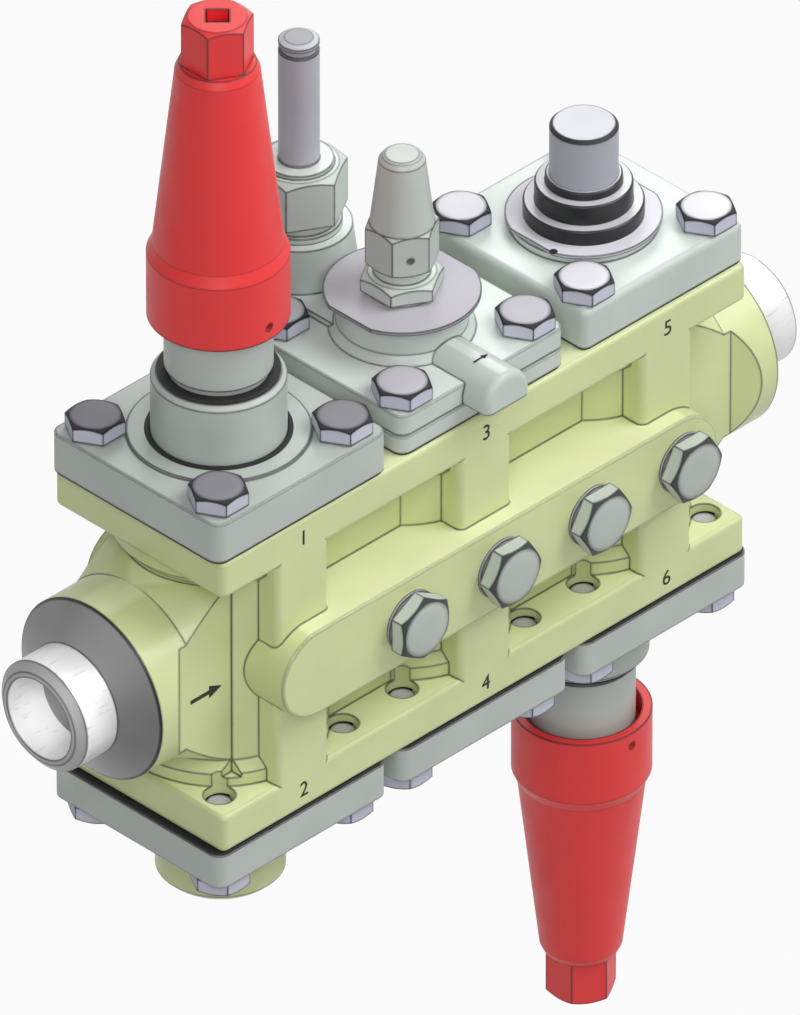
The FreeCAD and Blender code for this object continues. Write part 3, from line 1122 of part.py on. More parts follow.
def piston_and_opener(dome_top):
    """The main piston with its spring, and the manual opener under its seal cap."""
    piston = new_body("solenoid_piston", SECOND)
    radius = "(cage_bore - running_clearance)"
    end = "(partition_half + piston_length)"
    turn(piston, [
        ("0", "partition_half"), (radius, "partition_half"), (radius, end),
        (f"({radius} - piston_wall)", end),
        (f"({radius} - piston_wall)", "(partition_half + piston_floor)"),
        ("0", "(partition_half + piston_floor)"),
    ], "piston")
    keep("solenoid_piston", piston)
    coil_spring("piston_spring", SECOND, False, "(partition_half + piston_floor)", SPIGOT_END,
                "piston_coil", "piston_wire", 5)
    marking_disc("opener_disc", SECOND, dome_top, "(opener_neck_radius + running_clearance)")

    foot = f"({dome_top} + badge)"
    hexagon_foot = f"({foot} + opener_base)"
    hexagon_top = f"({hexagon_foot} + opener_hexagon)"
    waist_top = f"({hexagon_top} + opener_waist)"
    thread_top = f"({waist_top} + opener_thread)"
    nut = new_body("opener_nut", SECOND)
    turn(nut, [
        ("0", f"({foot} - badge)"), ("opener_neck_radius", f"({foot} - badge)"),
        ("opener_neck_radius", foot), ("opener_base_radius", foot),
        ("opener_base_radius", hexagon_foot), ("opener_waist_radius", hexagon_foot),
        ("opener_waist_radius", waist_top), ("opener_thread_radius", waist_top),
        ("opener_thread_radius", thread_top), ("0", thread_top),
    ], "core")
    head = new_sketch(nut, "hexagon_outline", "XY_Plane", lift=hexagon_foot)
    hexagon(head, "opener_flats")
    pad(nut, head, "opener_hexagon", "hexagon")
    chamfer_hexagon(nut, "opener_flats", hexagon_top)
    bore(nut, [
        ("0", f"({foot} - badge)"), ("(opener_stem_radius + running_clearance)", f"({foot} - badge)"),
        ("(opener_stem_radius + running_clearance)", thread_top), ("0", thread_top),
    ], "stem_hole")
    keep("opener_nut", nut)

    stem_top = f"({thread_top} + opener_stem_top)"
    stem_foot = f"({thread_top} - opener_stem_depth)"
    lifter_foot = f"({stem_foot} + opener_head)"
    stem = new_body("opener_spindle", SECOND)
    turn(stem, [
        ("0", stem_foot), ("opener_head_radius", stem_foot), ("opener_head_radius", lifter_foot),
        ("opener_stem_radius", lifter_foot), ("opener_stem_radius", stem_top), ("0", stem_top),
    ], "stem")
    flat = new_sketch(stem, "flats_outline", "XY_Plane", lift=stem_top)
    far = "(opener_stem_radius + overlap)"
    for sign in ("", "-"):
        polygon(flat, [
            (f"{sign}opener_key_half", f"-{far}"), (f"{sign}{far}", f"-{far}"),
            (f"{sign}{far}", far), (f"{sign}opener_key_half", far),
        ])
    pocket(stem, flat, "opener_key", "key_flats")
    keep("opener_spindle", stem)
    lifter = new_body("opener_lifter", SECOND)
    outline = new_sketch(lifter, "outline", "XY_Plane", lift=lifter_foot)
    circles(outline, [
        ("0", "0", "lifter_radius"), ("0", "0", "(opener_stem_radius + running_clearance)"),
    ])
    pad(lifter, outline, "lifter", "lifter")
    keep("opener_lifter", lifter)

    step = f"({waist_top} + seal_hexagon)"
    cone_foot = f"({step} + seal_step)"
    cone_top = f"({cone_foot} + seal_cone)"
    tip = f"({cone_top} + seal_tip)"
    thread_room = f"({thread_top} + seal_thread_reserve)"
    hollow_top = f"({thread_top} + seal_inner_height)"
    seal = new_body("opener_cap", SECOND)
    head = new_sketch(seal, "hexagon_outline", "XY_Plane", lift=waist_top)
    hexagon(head, "seal_flats")
    pad(seal, head, "(seal_hexagon + seal_step)", "hexagon")
    chamfer_hexagon(seal, "seal_flats", cone_foot, "top_chamfer", "seal_cone_radius")
    chamfer_hexagon(seal, "seal_flats", waist_top, "rim_chamfer", "seal_cone_radius", "+")
    turn(seal, [
        ("0", step), ("seal_cone_radius", step), ("seal_cone_radius", cone_foot),
        ("seal_tip_radius", cone_top), ("seal_shoulder_radius", f"({tip} - seal_shoulder)"),
        ("seal_flat_radius", tip), ("0", tip),
    ], "cone")
    bore(seal, [
        ("0", waist_top), ("(opener_thread_radius + running_clearance)", waist_top),
        ("(opener_thread_radius + running_clearance)", thread_room),
        ("seal_inner_radius", thread_room), ("seal_inner_radius", hollow_top),
        ("0", f"({hollow_top} + seal_drill_point)"),
    ], "hollow")
    drill_facet(seal, f"({waist_top} + seal_vent_rise)", "seal_vent_radius", "seal_flats")
    keep("opener_cap", seal)


def drill_facet(body, height, radius, flats):
    """Drill a radial hole in the hexagon's facet that faces front left."""
    feature = body.newObject("PartDesign::SubtractiveCylinder", "vent")
    tilt = FreeCAD.Rotation(FreeCAD.Vector(0, 1, 0), 90)
    facing = FreeCAD.Rotation(FreeCAD.Vector(0, 0, 1), 240)
    feature.Placement.Rotation = facing * tilt
    feature.setExpression("Placement.Base.z", bind(height))
    feature.setExpression("Radius", bind(radius))
    feature.setExpression("Height", bind(flats))
    checked_cut(body, feature)


def marking_disc(name, column, bottom, hole):
    """A thin round disc with two flats."""
    disc = new_body(name, column)
    outline = new_sketch(disc, "disc_outline", "XY_Plane", lift=bottom)
    circles(outline, [("0", "0", "badge_radius"), ("0", "0", hole)])
    pad(disc, outline, "badge", "disc")
    trim = new_sketch(disc, "flats_outline", "XY_Plane", lift=f"({bottom} + badge)")
    far = "(badge_radius + overlap)"
    for sign in ("", "-"):
        polygon(trim, [
            (f"{sign}badge_half", f"-{far}"), (f"{sign}{far}", f"-{far}"), (f"{sign}{far}", far),
            (f"{sign}badge_half", far),
        ])
    pocket(disc, trim, "badge", "flats")
    keep(name, disc)


def check_valve():
    """The check valve: cover with its guide, cone and spring."""
    cover = new_body("check_cover", SECOND, True)
    square_plate(cover, "cover_half", "cover_corner", SEAT, "lower_plate")
    guide_end = f"({SEAT} - check_guide)"
    turn(cover, [
        ("0", guide_end), ("check_guide_radius", guide_end), ("check_guide_radius", SPIGOT_END),
        (SPIGOT_RADIUS, SPIGOT_END), (SPIGOT_RADIUS, f"({SEAT} + lower_plate / 2)"),
        ("0", f"({SEAT} + lower_plate / 2)"),
    ], "guide_boss")
    bore(cover, [
        ("0", guide_end), ("(check_stem_radius + running_clearance)", guide_end),
        ("(check_stem_radius + running_clearance)", f"({SEAT} + check_guide_depth)"),
        ("0", f"({SEAT} + check_guide_depth)"),
    ], "guide_bore")
    screw_holes(cover, LOWER_TOP, "lower_plate")
    keep("check_cover", cover)

    disc_top = "(partition_half + check_disc)"
    cone = new_body("check_cone", SECOND, True)
    turn(cone, [
        ("0", "(partition_half - stop_nose)"),
        ("(port_radius - stop_nose / 2)", "(partition_half - stop_nose)"),
        ("(port_radius - free_gap)", "partition_half"), ("check_disc_radius", "partition_half"),
        ("check_disc_radius", disc_top), ("check_stem_radius", disc_top),
        ("check_stem_radius", f"({disc_top} + check_stem)"), ("0", f"({disc_top} + check_stem)"),
    ], "cone")
    keep("check_cone", cone)
    coil_spring("check_spring", SECOND, True, disc_top, guide_end, "check_coil", "check_wire", 4)


def motor_valve():
    """The motor valve: cover, disc, adapter, actuator tube, rotor, cage and cone."""
    top = UPPER_TOP
    boss_top = f"({top} + regulator_boss)"
    shaft_hole = "(rotor_shaft_radius + free_gap)"
    cover = new_body("regulator_cover", THIRD)
    square_plate(cover, "regulator_half", "regulator_corner", SEAT, "upper_plate", "regulator_edge")
    turn(cover, [
        ("0", SPIGOT_END), (SPIGOT_RADIUS, SPIGOT_END), (SPIGOT_RADIUS, f"({SEAT} + overlap)"),
        ("regulator_boss_radius", f"({top} - overlap)"), ("regulator_boss_radius", boss_top),
        ("0", boss_top),
    ], "boss")
    bore(cover, [
        ("0", SPIGOT_END), (shaft_hole, SPIGOT_END), (shaft_hole, boss_top), ("0", boss_top),
    ], "shaft_hole")
    screw_holes(cover, top, "upper_plate")
    keep("regulator_cover", cover)

    marking_disc("regulator_disc", THIRD, boss_top, shaft_hole)
    foot = f"({boss_top} + badge)"
    step = f"({foot} + adapter_step)"
    foot_top = f"({foot} + adapter_foot)"
    ring_1 = f"({foot_top} + adapter_ring)"
    groove_top = f"({ring_1} + adapter_groove)"
    ring_2 = f"({groove_top} + adapter_ring)"
    neck = f"({ring_2} + adapter_top)"
    tube_hole = "(actuator_root_radius + running_clearance)"
    adapter = new_body("regulator_adapter", THIRD)
    turn(adapter, [
        (shaft_hole, foot), ("adapter_radius", foot), ("adapter_radius", step),
        ("(adapter_radius - adapter_inset)", step), ("(adapter_radius - adapter_inset)", foot_top),
        ("adapter_ring_radius", foot_top), ("adapter_ring_radius", ring_1),
        ("adapter_groove_radius", ring_1), ("adapter_groove_radius", groove_top),
        ("adapter_ring_radius", groove_top), ("adapter_ring_radius", ring_2),
        ("adapter_top_radius", ring_2), ("adapter_top_radius", neck), (tube_hole, neck),
        (tube_hole, ring_1), (shaft_hole, ring_1),
    ], "adapter")
    keep("regulator_adapter", adapter)

    end = f"({foot} + actuator_rise)"
    inner = "(actuator_radius - actuator_wall)"
    tube = new_body("actuator_tube", THIRD)
    turn(tube, [
        (inner, ring_1), ("actuator_root_radius", ring_1),
        ("actuator_root_radius", f"({neck} + actuator_relief)"),
        ("actuator_radius", f"({neck} + actuator_relief)"), ("actuator_radius", f"({end} - actuator_wall)"),
        ("(actuator_radius - actuator_wall)", end), ("0", end), ("0", f"({end} - actuator_wall)"),
        (inner, f"({end} - actuator_wall)"),
    ], "tube")
    keep("actuator_tube", tube)

    rotor_top = f"({end} - actuator_wall - rotor_gap)"
    rotor_foot = f"({rotor_top} - rotor_length)"
    hub_top = "(partition_half + regulator_disc + regulator_hub)"
    rotor = new_body("regulator_rotor", THIRD)
    turn(rotor, [
        ("0", f"({hub_top} - rotor_reach)"), ("rotor_shaft_radius", f"({hub_top} - rotor_reach)"),
        ("rotor_shaft_radius", rotor_foot), ("rotor_radius", rotor_foot), ("rotor_radius", rotor_top),
        ("0", rotor_top),
    ], "rotor")
    keep("regulator_rotor", rotor)
    guide_cage("regulator_cage", THIRD)

    cone = new_body("regulator_cone", THIRD)
    radius = "(cage_bore - running_clearance)"
    disc_top = "(partition_half + regulator_disc)"
    blind = "(partition_half - stop_nose + regulator_floor)"
    turn(cone, [
        ("0", "(partition_half - stop_nose)"),
        ("(port_radius - stop_nose / 2)", "(partition_half - stop_nose)"),
        ("(port_radius - free_gap)", "partition_half"), (radius, "partition_half"), (radius, disc_top),
        ("regulator_hub_radius", disc_top), ("regulator_hub_radius", hub_top), (shaft_hole, hub_top),
        (shaft_hole, blind), ("0", blind),
    ], "cone")
    keep("regulator_cone", cone)


casting()
weld_ends()
side_plugs()
MODULES = [
    ("inlet_stop", FIRST, False, "cover_half", "cover_corner", UPPER_TOP),
    ("strainer", FIRST, True, "cover_half", "cover_corner", LOWER_TOP),
    ("solenoid", SECOND, False, "solenoid_half", "solenoid_corner", SOLENOID_TOP),
    ("check", SECOND, True, "cover_half", "cover_corner", LOWER_TOP),
    ("regulator", THIRD, False, "regulator_half", "regulator_corner", UPPER_TOP),
    ("outlet_stop", THIRD, True, "cover_half", "cover_corner", LOWER_TOP),
]
for prefix, column, under, half, corner, seat in MODULES:
    cover_gasket(f"{prefix}_gasket", column, half, corner, under)
    cover_screws(f"{prefix}_screws", column, seat, under)
stop_valve("inlet_stop", "upper_cap", FIRST, "upper_plate", False)
stop_valve("outlet_stop", "lower_cap", THIRD, "lower_plate", True)
strainer()
solenoid_valve()
check_valve()
motor_valve()
doc.recompute()

for item in doc.Objects:
    if "Invalid" in item.State or "Error" in item.State:
        raise RuntimeError(f"{item.Label} did not build: {item.State}")
for name, item in NODES.items():
    if item.Shape.isNull() or not item.Shape.isValid() or not item.Shape.Solids:
        raise RuntimeError(f"{name} has no valid solid")
os.makedirs("parts", exist_ok=True)
for name, item in NODES.items():
    item.Shape.exportStep(f"parts/{name}.step")
print(len(NODES), "nodes written")
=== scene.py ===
"""A valve station: finishes, fasteners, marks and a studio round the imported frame.

Row frame, in metres: origin at the centre of the inlet weld end, +X along the flow,
+Z up. The side with the hexagon plugs faces -Y.
"""

import json
import logging
import math
from dataclasses import dataclass, field
from enum import Enum
from functools import reduce

import bmesh
import bpy
from mathutils import Matrix, Vector

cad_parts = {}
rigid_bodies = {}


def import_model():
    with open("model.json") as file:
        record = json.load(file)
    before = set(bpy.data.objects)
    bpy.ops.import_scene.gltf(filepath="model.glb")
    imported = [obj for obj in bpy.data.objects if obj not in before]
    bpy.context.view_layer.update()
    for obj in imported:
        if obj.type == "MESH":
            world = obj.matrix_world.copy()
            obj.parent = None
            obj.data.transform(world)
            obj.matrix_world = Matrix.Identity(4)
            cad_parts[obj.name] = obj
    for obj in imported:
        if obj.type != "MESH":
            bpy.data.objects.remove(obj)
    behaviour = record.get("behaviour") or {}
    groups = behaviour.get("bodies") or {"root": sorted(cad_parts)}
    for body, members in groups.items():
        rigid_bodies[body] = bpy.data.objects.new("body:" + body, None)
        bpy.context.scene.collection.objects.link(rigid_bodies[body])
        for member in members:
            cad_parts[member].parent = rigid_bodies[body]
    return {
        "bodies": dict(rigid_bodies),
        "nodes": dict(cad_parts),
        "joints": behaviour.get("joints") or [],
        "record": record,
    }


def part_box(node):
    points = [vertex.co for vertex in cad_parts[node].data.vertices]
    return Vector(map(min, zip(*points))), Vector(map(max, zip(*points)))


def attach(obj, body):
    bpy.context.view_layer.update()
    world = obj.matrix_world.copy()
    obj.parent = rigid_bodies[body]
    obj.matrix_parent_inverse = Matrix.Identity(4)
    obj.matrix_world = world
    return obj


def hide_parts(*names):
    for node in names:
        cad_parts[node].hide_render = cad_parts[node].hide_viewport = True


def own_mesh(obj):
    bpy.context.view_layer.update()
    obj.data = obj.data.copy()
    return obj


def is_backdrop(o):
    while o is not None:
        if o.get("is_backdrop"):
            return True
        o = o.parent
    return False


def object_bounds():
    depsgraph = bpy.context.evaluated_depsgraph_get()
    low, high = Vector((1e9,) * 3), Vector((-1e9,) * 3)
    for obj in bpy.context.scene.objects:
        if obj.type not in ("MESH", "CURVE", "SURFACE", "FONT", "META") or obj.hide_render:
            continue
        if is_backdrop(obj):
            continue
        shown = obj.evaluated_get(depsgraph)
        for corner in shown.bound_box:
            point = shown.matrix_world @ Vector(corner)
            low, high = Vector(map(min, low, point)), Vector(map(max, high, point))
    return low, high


LOG = logging.getLogger("valve_station")
MM = 0.001
STATION = "station"

Colour = tuple[float, float, float]
Point = tuple[float, float, float]
Range = tuple[float, float]
Outline = list[tuple[float, float]]
Socket = bpy.types.NodeSocket
Value = Socket | float
Material = bpy.types.Material
Mesh = bpy.types.Mesh

ORIGIN: Point = (0.0, 0.0, 0.0)
WHITE = (1.0, 1.0, 1.0, 1.0)

# Shares of facing, from 0 to 1, over which one finish turns into the next: EDGE brings painted
# shade along edges, LEVEL and END_FACE painted light and shade on level faces.
EDGE: Range = (0.997, 0.975)
LEVEL: Range = (0.97, 0.99)
END_FACE: Range = (0.95, 0.98)
STEEP: Range = (0.70, 0.80)
SLOPE: Range = (0.30, 0.45)
# The middle of a noise's range, which is stretched over the values it drives.
NOISE: Range = (0.3, 0.7)

TURN_STEPS = 144

# The steps and shares that every hexagon fastener is made with.
HEAD_STEPS = 72
HEAD_RINGS = 3
HEAD_SLOPE = math.radians(30)
WASHER_FACE_SHARE = 0.475
SHANK_STEPS = 32
THREAD_STEPS = 24
THREAD_SIDES = 3
CORE_SHARE = 0.5
RIDGE_SHARE = 0.32
FASTENER_INPUTS = ("Flats", "Head", "Circle", "Washer face", "Shank radius", "Shank length",
                   "Thread pitch")


def srgb(red: int, green: int, blue: int) -> Colour:
    """Return the linear colour of three sRGB bytes."""
    shares = (red / 255, green / 255, blue / 255)
    return tuple(s / 12.92 if s <= 0.04045 else ((s + 0.055) / 1.055) ** 2.4 for s in shares)


class Slot(Enum):
    """Some of the record's material slots, by name."""

    FASTENER = "fastener"
    PLUG = "plug"
    GASKET = "gasket"
    SPRING = "spring"


class Side(Enum):
    """The flange that a module stands on, and the sign of its outward direction."""

    TOP = 1
    BOTTOM = -1


@dataclass(frozen=True)
class Layout:
    """The driving sizes of the station, in millimetres."""

    first_column: float = 78.5
    pitch: float = 80.0
    front_face: float = -37.0
    screw_place: float = 27.0
    upper_seat: float = 70.0
    lower_seat: float = 68.2
    pilot_offset: float = 45.2

    def column(self, number: int) -> float:
        """Return the X place of column 1, 2 or 3."""
        return self.first_column + (number - 1) * self.pitch


LAYOUT = Layout()


class NodeTree:
    """A node tree, with short calls to add and join nodes."""

    prefix = "ShaderNode"

    def __init__(self, tree: bpy.types.NodeTree) -> None:
        """Note the tree that takes the nodes."""
        self.tree = tree

    def add(self, kind: str, inputs: dict | None = None, prefix: str = "",
            **settings: object) -> bpy.types.Node:
        """Add a node.

        Args:
            kind: The node's type, without its prefix.
            inputs: Values or sockets for its inputs, by name or number.
            prefix: The type's prefix, where it isn't the tree's own.
            settings: The node's own settings.

        Returns:
            The new node.
        """
        node = self.tree.nodes.new(f"{prefix or self.prefix}{kind}")
        for name, setting in settings.items():
            setattr(node, name, setting)
        for name, source in (inputs or {}).items():
            if isinstance(source, Socket):
                self.tree.links.new(source, node.inputs[name])
            else:
                node.inputs[name].default_value = source
        return node

    def out(self, *kind_and_inputs: str | dict, **settings: object) -> Socket:
        """Add a node as add does, and return its first output."""
        return self.add(*kind_and_inputs, **settings).outputs[0]

    def math(self, operation: str, *values: Value) -> Socket:
        """Return the result of a Math node."""
        return self.out("Math", dict(enumerate(values)), prefix="ShaderNode", operation=operation)

    def times(self, *values: Value) -> Socket:
        """Return the product of several values."""
        return reduce(lambda first, second: self.math("MULTIPLY", first, second), values)

    def vector(self, x: Value = 0.0, y: Value = 0.0, z: Value = 0.0) -> Socket:
        """Return a vector of three values."""
        return self.out("CombineXYZ", {0: x, 1: y, 2: z}, prefix="ShaderNode")

    def parts(self, vector: Socket) -> tuple[Socket, ...]:
        """Return the three parts of a vector."""
        return tuple(self.add("SeparateXYZ", {0: vector}, prefix="ShaderNode").outputs)

    def reach(self, first: Socket, second: Socket) -> Socket:
        """Return the length of two parts at a right angle."""
        squares = [self.math("POWER", part, 2.0) for part in (first, second)]
        return self.math("SQRT", self.math("ADD", *squares))


class Graph(NodeTree):
    """The shader tree of a material or a world."""

    def __init__(self, owner: Material | bpy.types.World) -> None:
        """Start an empty tree.

        Args:
            owner: The material or world that the tree belongs to.
        """
        owner.use_nodes = True
        super().__init__(owner.node_tree)
        self.owner = owner
        self.tree.nodes.clear()

    def mix(self, share: Socket, first: Socket | Colour, second: Socket | Colour) -> Socket:
        """Return a colour mixed from two by a share."""
        colours = [(*c, 1.0) if isinstance(c, tuple) else c for c in (first, second)]
        node = self.add("Mix", {0: share, 6: colours[0], 7: colours[1]}, data_type="RGBA")
        return node.outputs[2]

    def shade(self, colour: Socket | Colour, share: Socket) -> Socket:
        """Return a colour multiplied by a share."""
        return self.out("VectorMath", {0: colour, 1: share}, operation="MULTIPLY")

    def place(self, centre: Point = ORIGIN) -> Socket:
        """Return object coordinates in millimetres about a centre in millimetres."""
        source = self.add("TexCoord").outputs["Object"]
        shift = tuple(-c for c in centre)
        scaled = {"Vector": source, "Scale": (1 / MM,) * 3, "Location": shift}
        return self.add("Mapping", scaled).outputs["Vector"]

    def noise(self, place: Socket, size: float, detail: float = 2.0, seed: float = 0.0) -> Socket:
        """Return noise from 0 to 1 with features of a size in millimetres."""
        values = {"Vector": place, "W": seed, "Scale": 1 / size, "Detail": detail}
        return self.add("TexNoise", values, noise_dimensions="4D").outputs["Fac"]

    def ramp(self, value: Socket, low: float, high: float, to_low: float = 0.0,
             to_high: float = 1.0) -> Socket:
        """Return a value mapped from one range to another and clamped."""
        return self.out("MapRange", {0: value, 1: low, 2: high, 3: to_low, 4: to_high})

    def spread(self, noise: Socket, middle: float, reach: float) -> Socket:
        """Return noise stretched over a value and a reach on either side of it."""
        return self.ramp(noise, *NOISE, middle - reach, middle + reach)

    def from_middle(self, along: Socket) -> Socket:
        """Return the distance in millimetres from the station's middle along X."""
        return self.math("ABSOLUTE", self.math("SUBTRACT", along, LAYOUT.column(2)))

    def seen_rays(self) -> Socket:
        """Return 1 for what the camera, a reflection or a clear surface shows."""
        path = self.add("LightPath").outputs
        mirrored = self.math("MAXIMUM", path["Is Glossy Ray"], path["Is Transmission Ray"])
        return self.math("MAXIMUM", path["Is Camera Ray"], mirrored)

    def finish(self, shader: Socket) -> Material:
        """Join a shader to the output and return the material."""
        self.add("OutputMaterial", {"Surface": shader})
        return self.owner


@dataclass(frozen=True)
class Finish:
    """A surface finish, with soft edges, a fine grain, painted shade along its edges and painted
    light and shade on faces square to its axis.

    Args:
        name: The material's name.
        colour: The linear base colour.
        roughness: The middle roughness.
        metallic: The share of metal.
        grain: The size of the surface grain, in millimetres.
        bump: The depth of that grain, in millimetres.
        blotch: How far the colour drifts over the piece.
        edge: The width of the eased edges, in millimetres.
        edge_dark: How far the colour darkens along the edges and creases: painted shade.
        coat: The weight of a clear coat.
        gloss: The specular level.
        level_colour: The colour of faces square to the axis, or None: painted light where it is
            lighter than the colour, painted shade where it is darker.
        axis: The axis of those faces: 0, 1 or 2.
        chamfer_share: The share of the colour that a chamfer before those faces has, or None:
            painted shade where below 1, a painted highlight where above.
        chamfer_limits: The facing over which the side turns into the chamfer.
        blotch_size: The size of the colour's drift, in millimetres.
        wear: How far the roughness drifts.
        wear_size: The size of that drift, in millimetres.
        relief: How strongly the grain turns the light.
    """

    name: str
    colour: Colour
    roughness: float = 0.45
    metallic: float = 0.0
    grain: float = 0.8
    bump: float = 0.02
    blotch: float = 0.05
    edge: float = 1.1
    edge_dark: float = 0.92
    coat: float = 0.0
    gloss: float = 0.5
    level_colour: Colour | None = None
    axis: int = 2
    chamfer_share: float | None = None
    chamfer_limits: Range = STEEP
    blotch_size: float = 28.0
    wear: float = 0.05
    wear_size: float = 9.0
    relief: float = 1.0

    def edge_share(self, graph: Graph) -> tuple[Socket, Socket]:
        """Return the eased normal and the share of edge at each point."""
        eased = graph.out("Bevel", {"Radius": self.edge * MM}, samples=6)
        plain = graph.add("NewGeometry").outputs["Normal"]
        dot = graph.add("VectorMath", {0: eased, 1: plain}, operation="DOT_PRODUCT")
        return eased, graph.ramp(dot.outputs["Value"], *EDGE)

    def facing(self, graph: Graph) -> Socket:
        """Return how squarely a point faces along the axis, from 0 to 1."""
        normal = graph.add("NewGeometry").outputs["Normal"]
        return graph.math("ABSOLUTE", graph.parts(normal)[self.axis])

    def ground(self, graph: Graph, place: Socket) -> Socket | Colour:
        """Return the colour before its drift and edge shade, with painted light and shade on level
        faces and chamfers.
        """
        # Faces square to the axis, and the chamfers before them, take their own colour by facing:
        # painted light and shade.
        if self.level_colour is None:
            return self.colour
        facing = self.facing(graph)
        if self.chamfer_share is None:
            return graph.mix(graph.ramp(facing, *LEVEL), self.colour, self.level_colour)
        chamfer = tuple(c * self.chamfer_share for c in self.colour)
        side = graph.mix(graph.ramp(facing, *self.chamfer_limits), self.colour, chamfer)
        return graph.mix(graph.ramp(facing, *END_FACE), side, self.level_colour)

    def paint(self, graph: Graph, place: Socket, edges: Socket) -> Socket:
        """Return the colour: a slow drift, with painted shade along the edges and creases."""
        drift = graph.spread(graph.noise(place, self.blotch_size, seed=3.0), 1.0, self.blotch)
        # Painted shade: the colour darkens where the eased normal turns, along edges and in
        # creases.
        edge_shade_factor = graph.ramp(edges, 0.0, 1.0, 1.0, 1 - self.edge_dark)
        return graph.shade(graph.shade(self.ground(graph, place), drift), edge_shade_factor)

    def texture(self, graph: Graph, place: Socket) -> tuple[Socket, Socket]:
        """Return the grain's height and the roughness."""
        worn = graph.noise(place, self.wear_size, seed=7.0)
        height = graph.noise(place, self.grain, detail=3.0)
        return height, graph.spread(worn, self.roughness, self.wear)

    def build(self, centre: Point = ORIGIN) -> Material:
        """Return the material, with patterns centred in millimetres."""
        graph = Graph(bpy.data.materials.new(self.name))
        place = graph.place(centre)
        eased, edges = self.edge_share(graph)
        height, roughness = self.texture(graph, place)
        bump = graph.out("Bump", {
            "Strength": self.relief, "Distance": self.bump * MM, "Height": height, "Normal": eased,
        })
        return graph.finish(graph.out("BsdfPrincipled", {
            "Base Color": self.paint(graph, place, edges),
            "Roughness": roughness,
            "Metallic": self.metallic,
            "Coat Weight": self.coat,
            "Specular IOR Level": self.gloss,
            "Normal": bump,
        }))


@dataclass(frozen=True)
class TurnedMetal(Finish):
    """Bare metal with the fine rings of a lathe about one axis.

    Args:
        ring_pitch: The distance between the rings, in millimetres.
        along_x: Whether the axis of turning is X instead of Z.
    """

    wear: float = 0.06
    relief: float = 0.6
    chamfer_limits: Range = SLOPE
    ring_pitch: float = 0.35
    along_x: bool = False

    def texture(self, graph: Graph, place: Socket) -> tuple[Socket, Socket]:
        """Return the rings' height and the roughness, which follows them."""
        x, y, z = graph.parts(place)
        first, second, along = (y, z, x) if self.along_x else (x, y, z)
        travel = graph.math("ADD", graph.reach(first, second), along)
        rings = graph.noise(graph.vector(travel), self.ring_pitch)
        return rings, graph.spread(rings, self.roughness, self.wear)


@dataclass(frozen=True)
class CastPaint(Finish):
    """Paint on the casting, with unpainted machined metal inside the pipe bores, made near white as
    painted light in their shade.

    Args:
        bare: The colour of the machined bores: unpainted metal, made near white as painted light in
            their shade.
        bore: The radius within which the bores lie, in millimetres.
        bore_start: The distance from the middle to the inner ends of the bores.
    """

    bare: Colour = (0.93, 0.93, 0.93)
    bore: float = 14.7
    bore_start: float = 112.5

    def ground(self, graph: Graph, place: Socket) -> Socket:
        """Return paint outside, and unpainted metal made near white as painted light in the bores.
        """
        x, y, z = graph.parts(place)
        inside = graph.math("LESS_THAN", graph.reach(y, z), self.bore)
        beyond = graph.math("GREATER_THAN", graph.from_middle(x), self.bore_start)
        # The bores' near-white colour is partly unpainted metal and partly painted light in their
        # shade.
        return graph.mix(graph.times(inside, beyond), super().ground(graph, place), self.bare)


@dataclass(frozen=True)
class WeldEndMetal(TurnedMetal):
    """Turned pipe ends: bright pipe with painted reflection streaks, and a darker rim and cone as
    painted shade.

    Args:
        cone_colour: The colour of the cone, darker than the pipe: painted shade.
        rim_colour: The colour of the weld bevel and the end face, darker than the pipe: painted
            shade.
        cone_end: The distance from the station's middle to the top of the cone.
        cone_blotch: How far the cone's colour drifts.
        cone_blotch_size: The size of that drift, in millimetres.
        streak: The length of the streaks against their width; the streaks are painted reflection.
        streak_size: The width of the streaks, in millimetres.
        streak_limits: The noise over which one of the streaks begins.
        streak_share: The share of the pipe's colour that the streaks keep: painted reflection.
    """

    cone_colour: Colour = (0.22, 0.22, 0.22)
    rim_colour: Colour = (0.3, 0.3, 0.3)
    cone_end: float = 143.1
    cone_blotch: float = 0.25
    cone_blotch_size: float = 34.0
    streak: float = 6.0
    streak_size: float = 1.1
    streak_limits: Range = (0.60, 0.72)
    streak_share: float = 0.68

    def ground(self, graph: Graph, place: Socket) -> Socket:
        """Return the pipe's colour with painted reflection streaks, and the cone's, with painted
        shade on the cone and the rim.
        """
        x, y, z = graph.parts(place)
        on_cone = graph.math("LESS_THAN", graph.from_middle(x), self.cone_end)
        long_way = graph.vector(graph.math("DIVIDE", x, self.streak), y, z)
        marks = graph.noise(long_way, self.streak_size, detail=3.0, seed=11.0)
        # Painted reflection: dark streaks stretched along the pipe.
        streaks = graph.ramp(marks, *self.streak_limits, 1.0, self.streak_share)
        wall = graph.shade(self.colour, streaks)
        # Painted shade: the bevel and the end face, which face along X, take a darker colour.
        pipe = graph.mix(graph.ramp(self.facing(graph), *SLOPE), wall, self.rim_colour)
        drift = graph.noise(place, self.cone_blotch_size, seed=5.0)
        # Painted shade: the cone takes a darker colour than the pipe.
        cone = graph.shade(self.cone_colour, graph.spread(drift, 1.0, self.cone_blotch))
        return graph.mix(on_cone, pipe, cone)


# The casting's level faces are painted lighter: painted light.
CAST_PAINT = CastPaint("cast_paint", srgb(205, 213, 157), 0.42, bump=0.03, coat=0.2,
                       level_colour=srgb(225, 231, 184))
COVER_GREY = Finish("cover_grey", srgb(180, 188, 182), 0.42, bump=0.012)
# The pale cover's level faces are painted lighter: painted light.
COVER_LIGHT = Finish("cover_light", srgb(190, 199, 193), 0.42, bump=0.012,
                     level_colour=srgb(208, 217, 211))
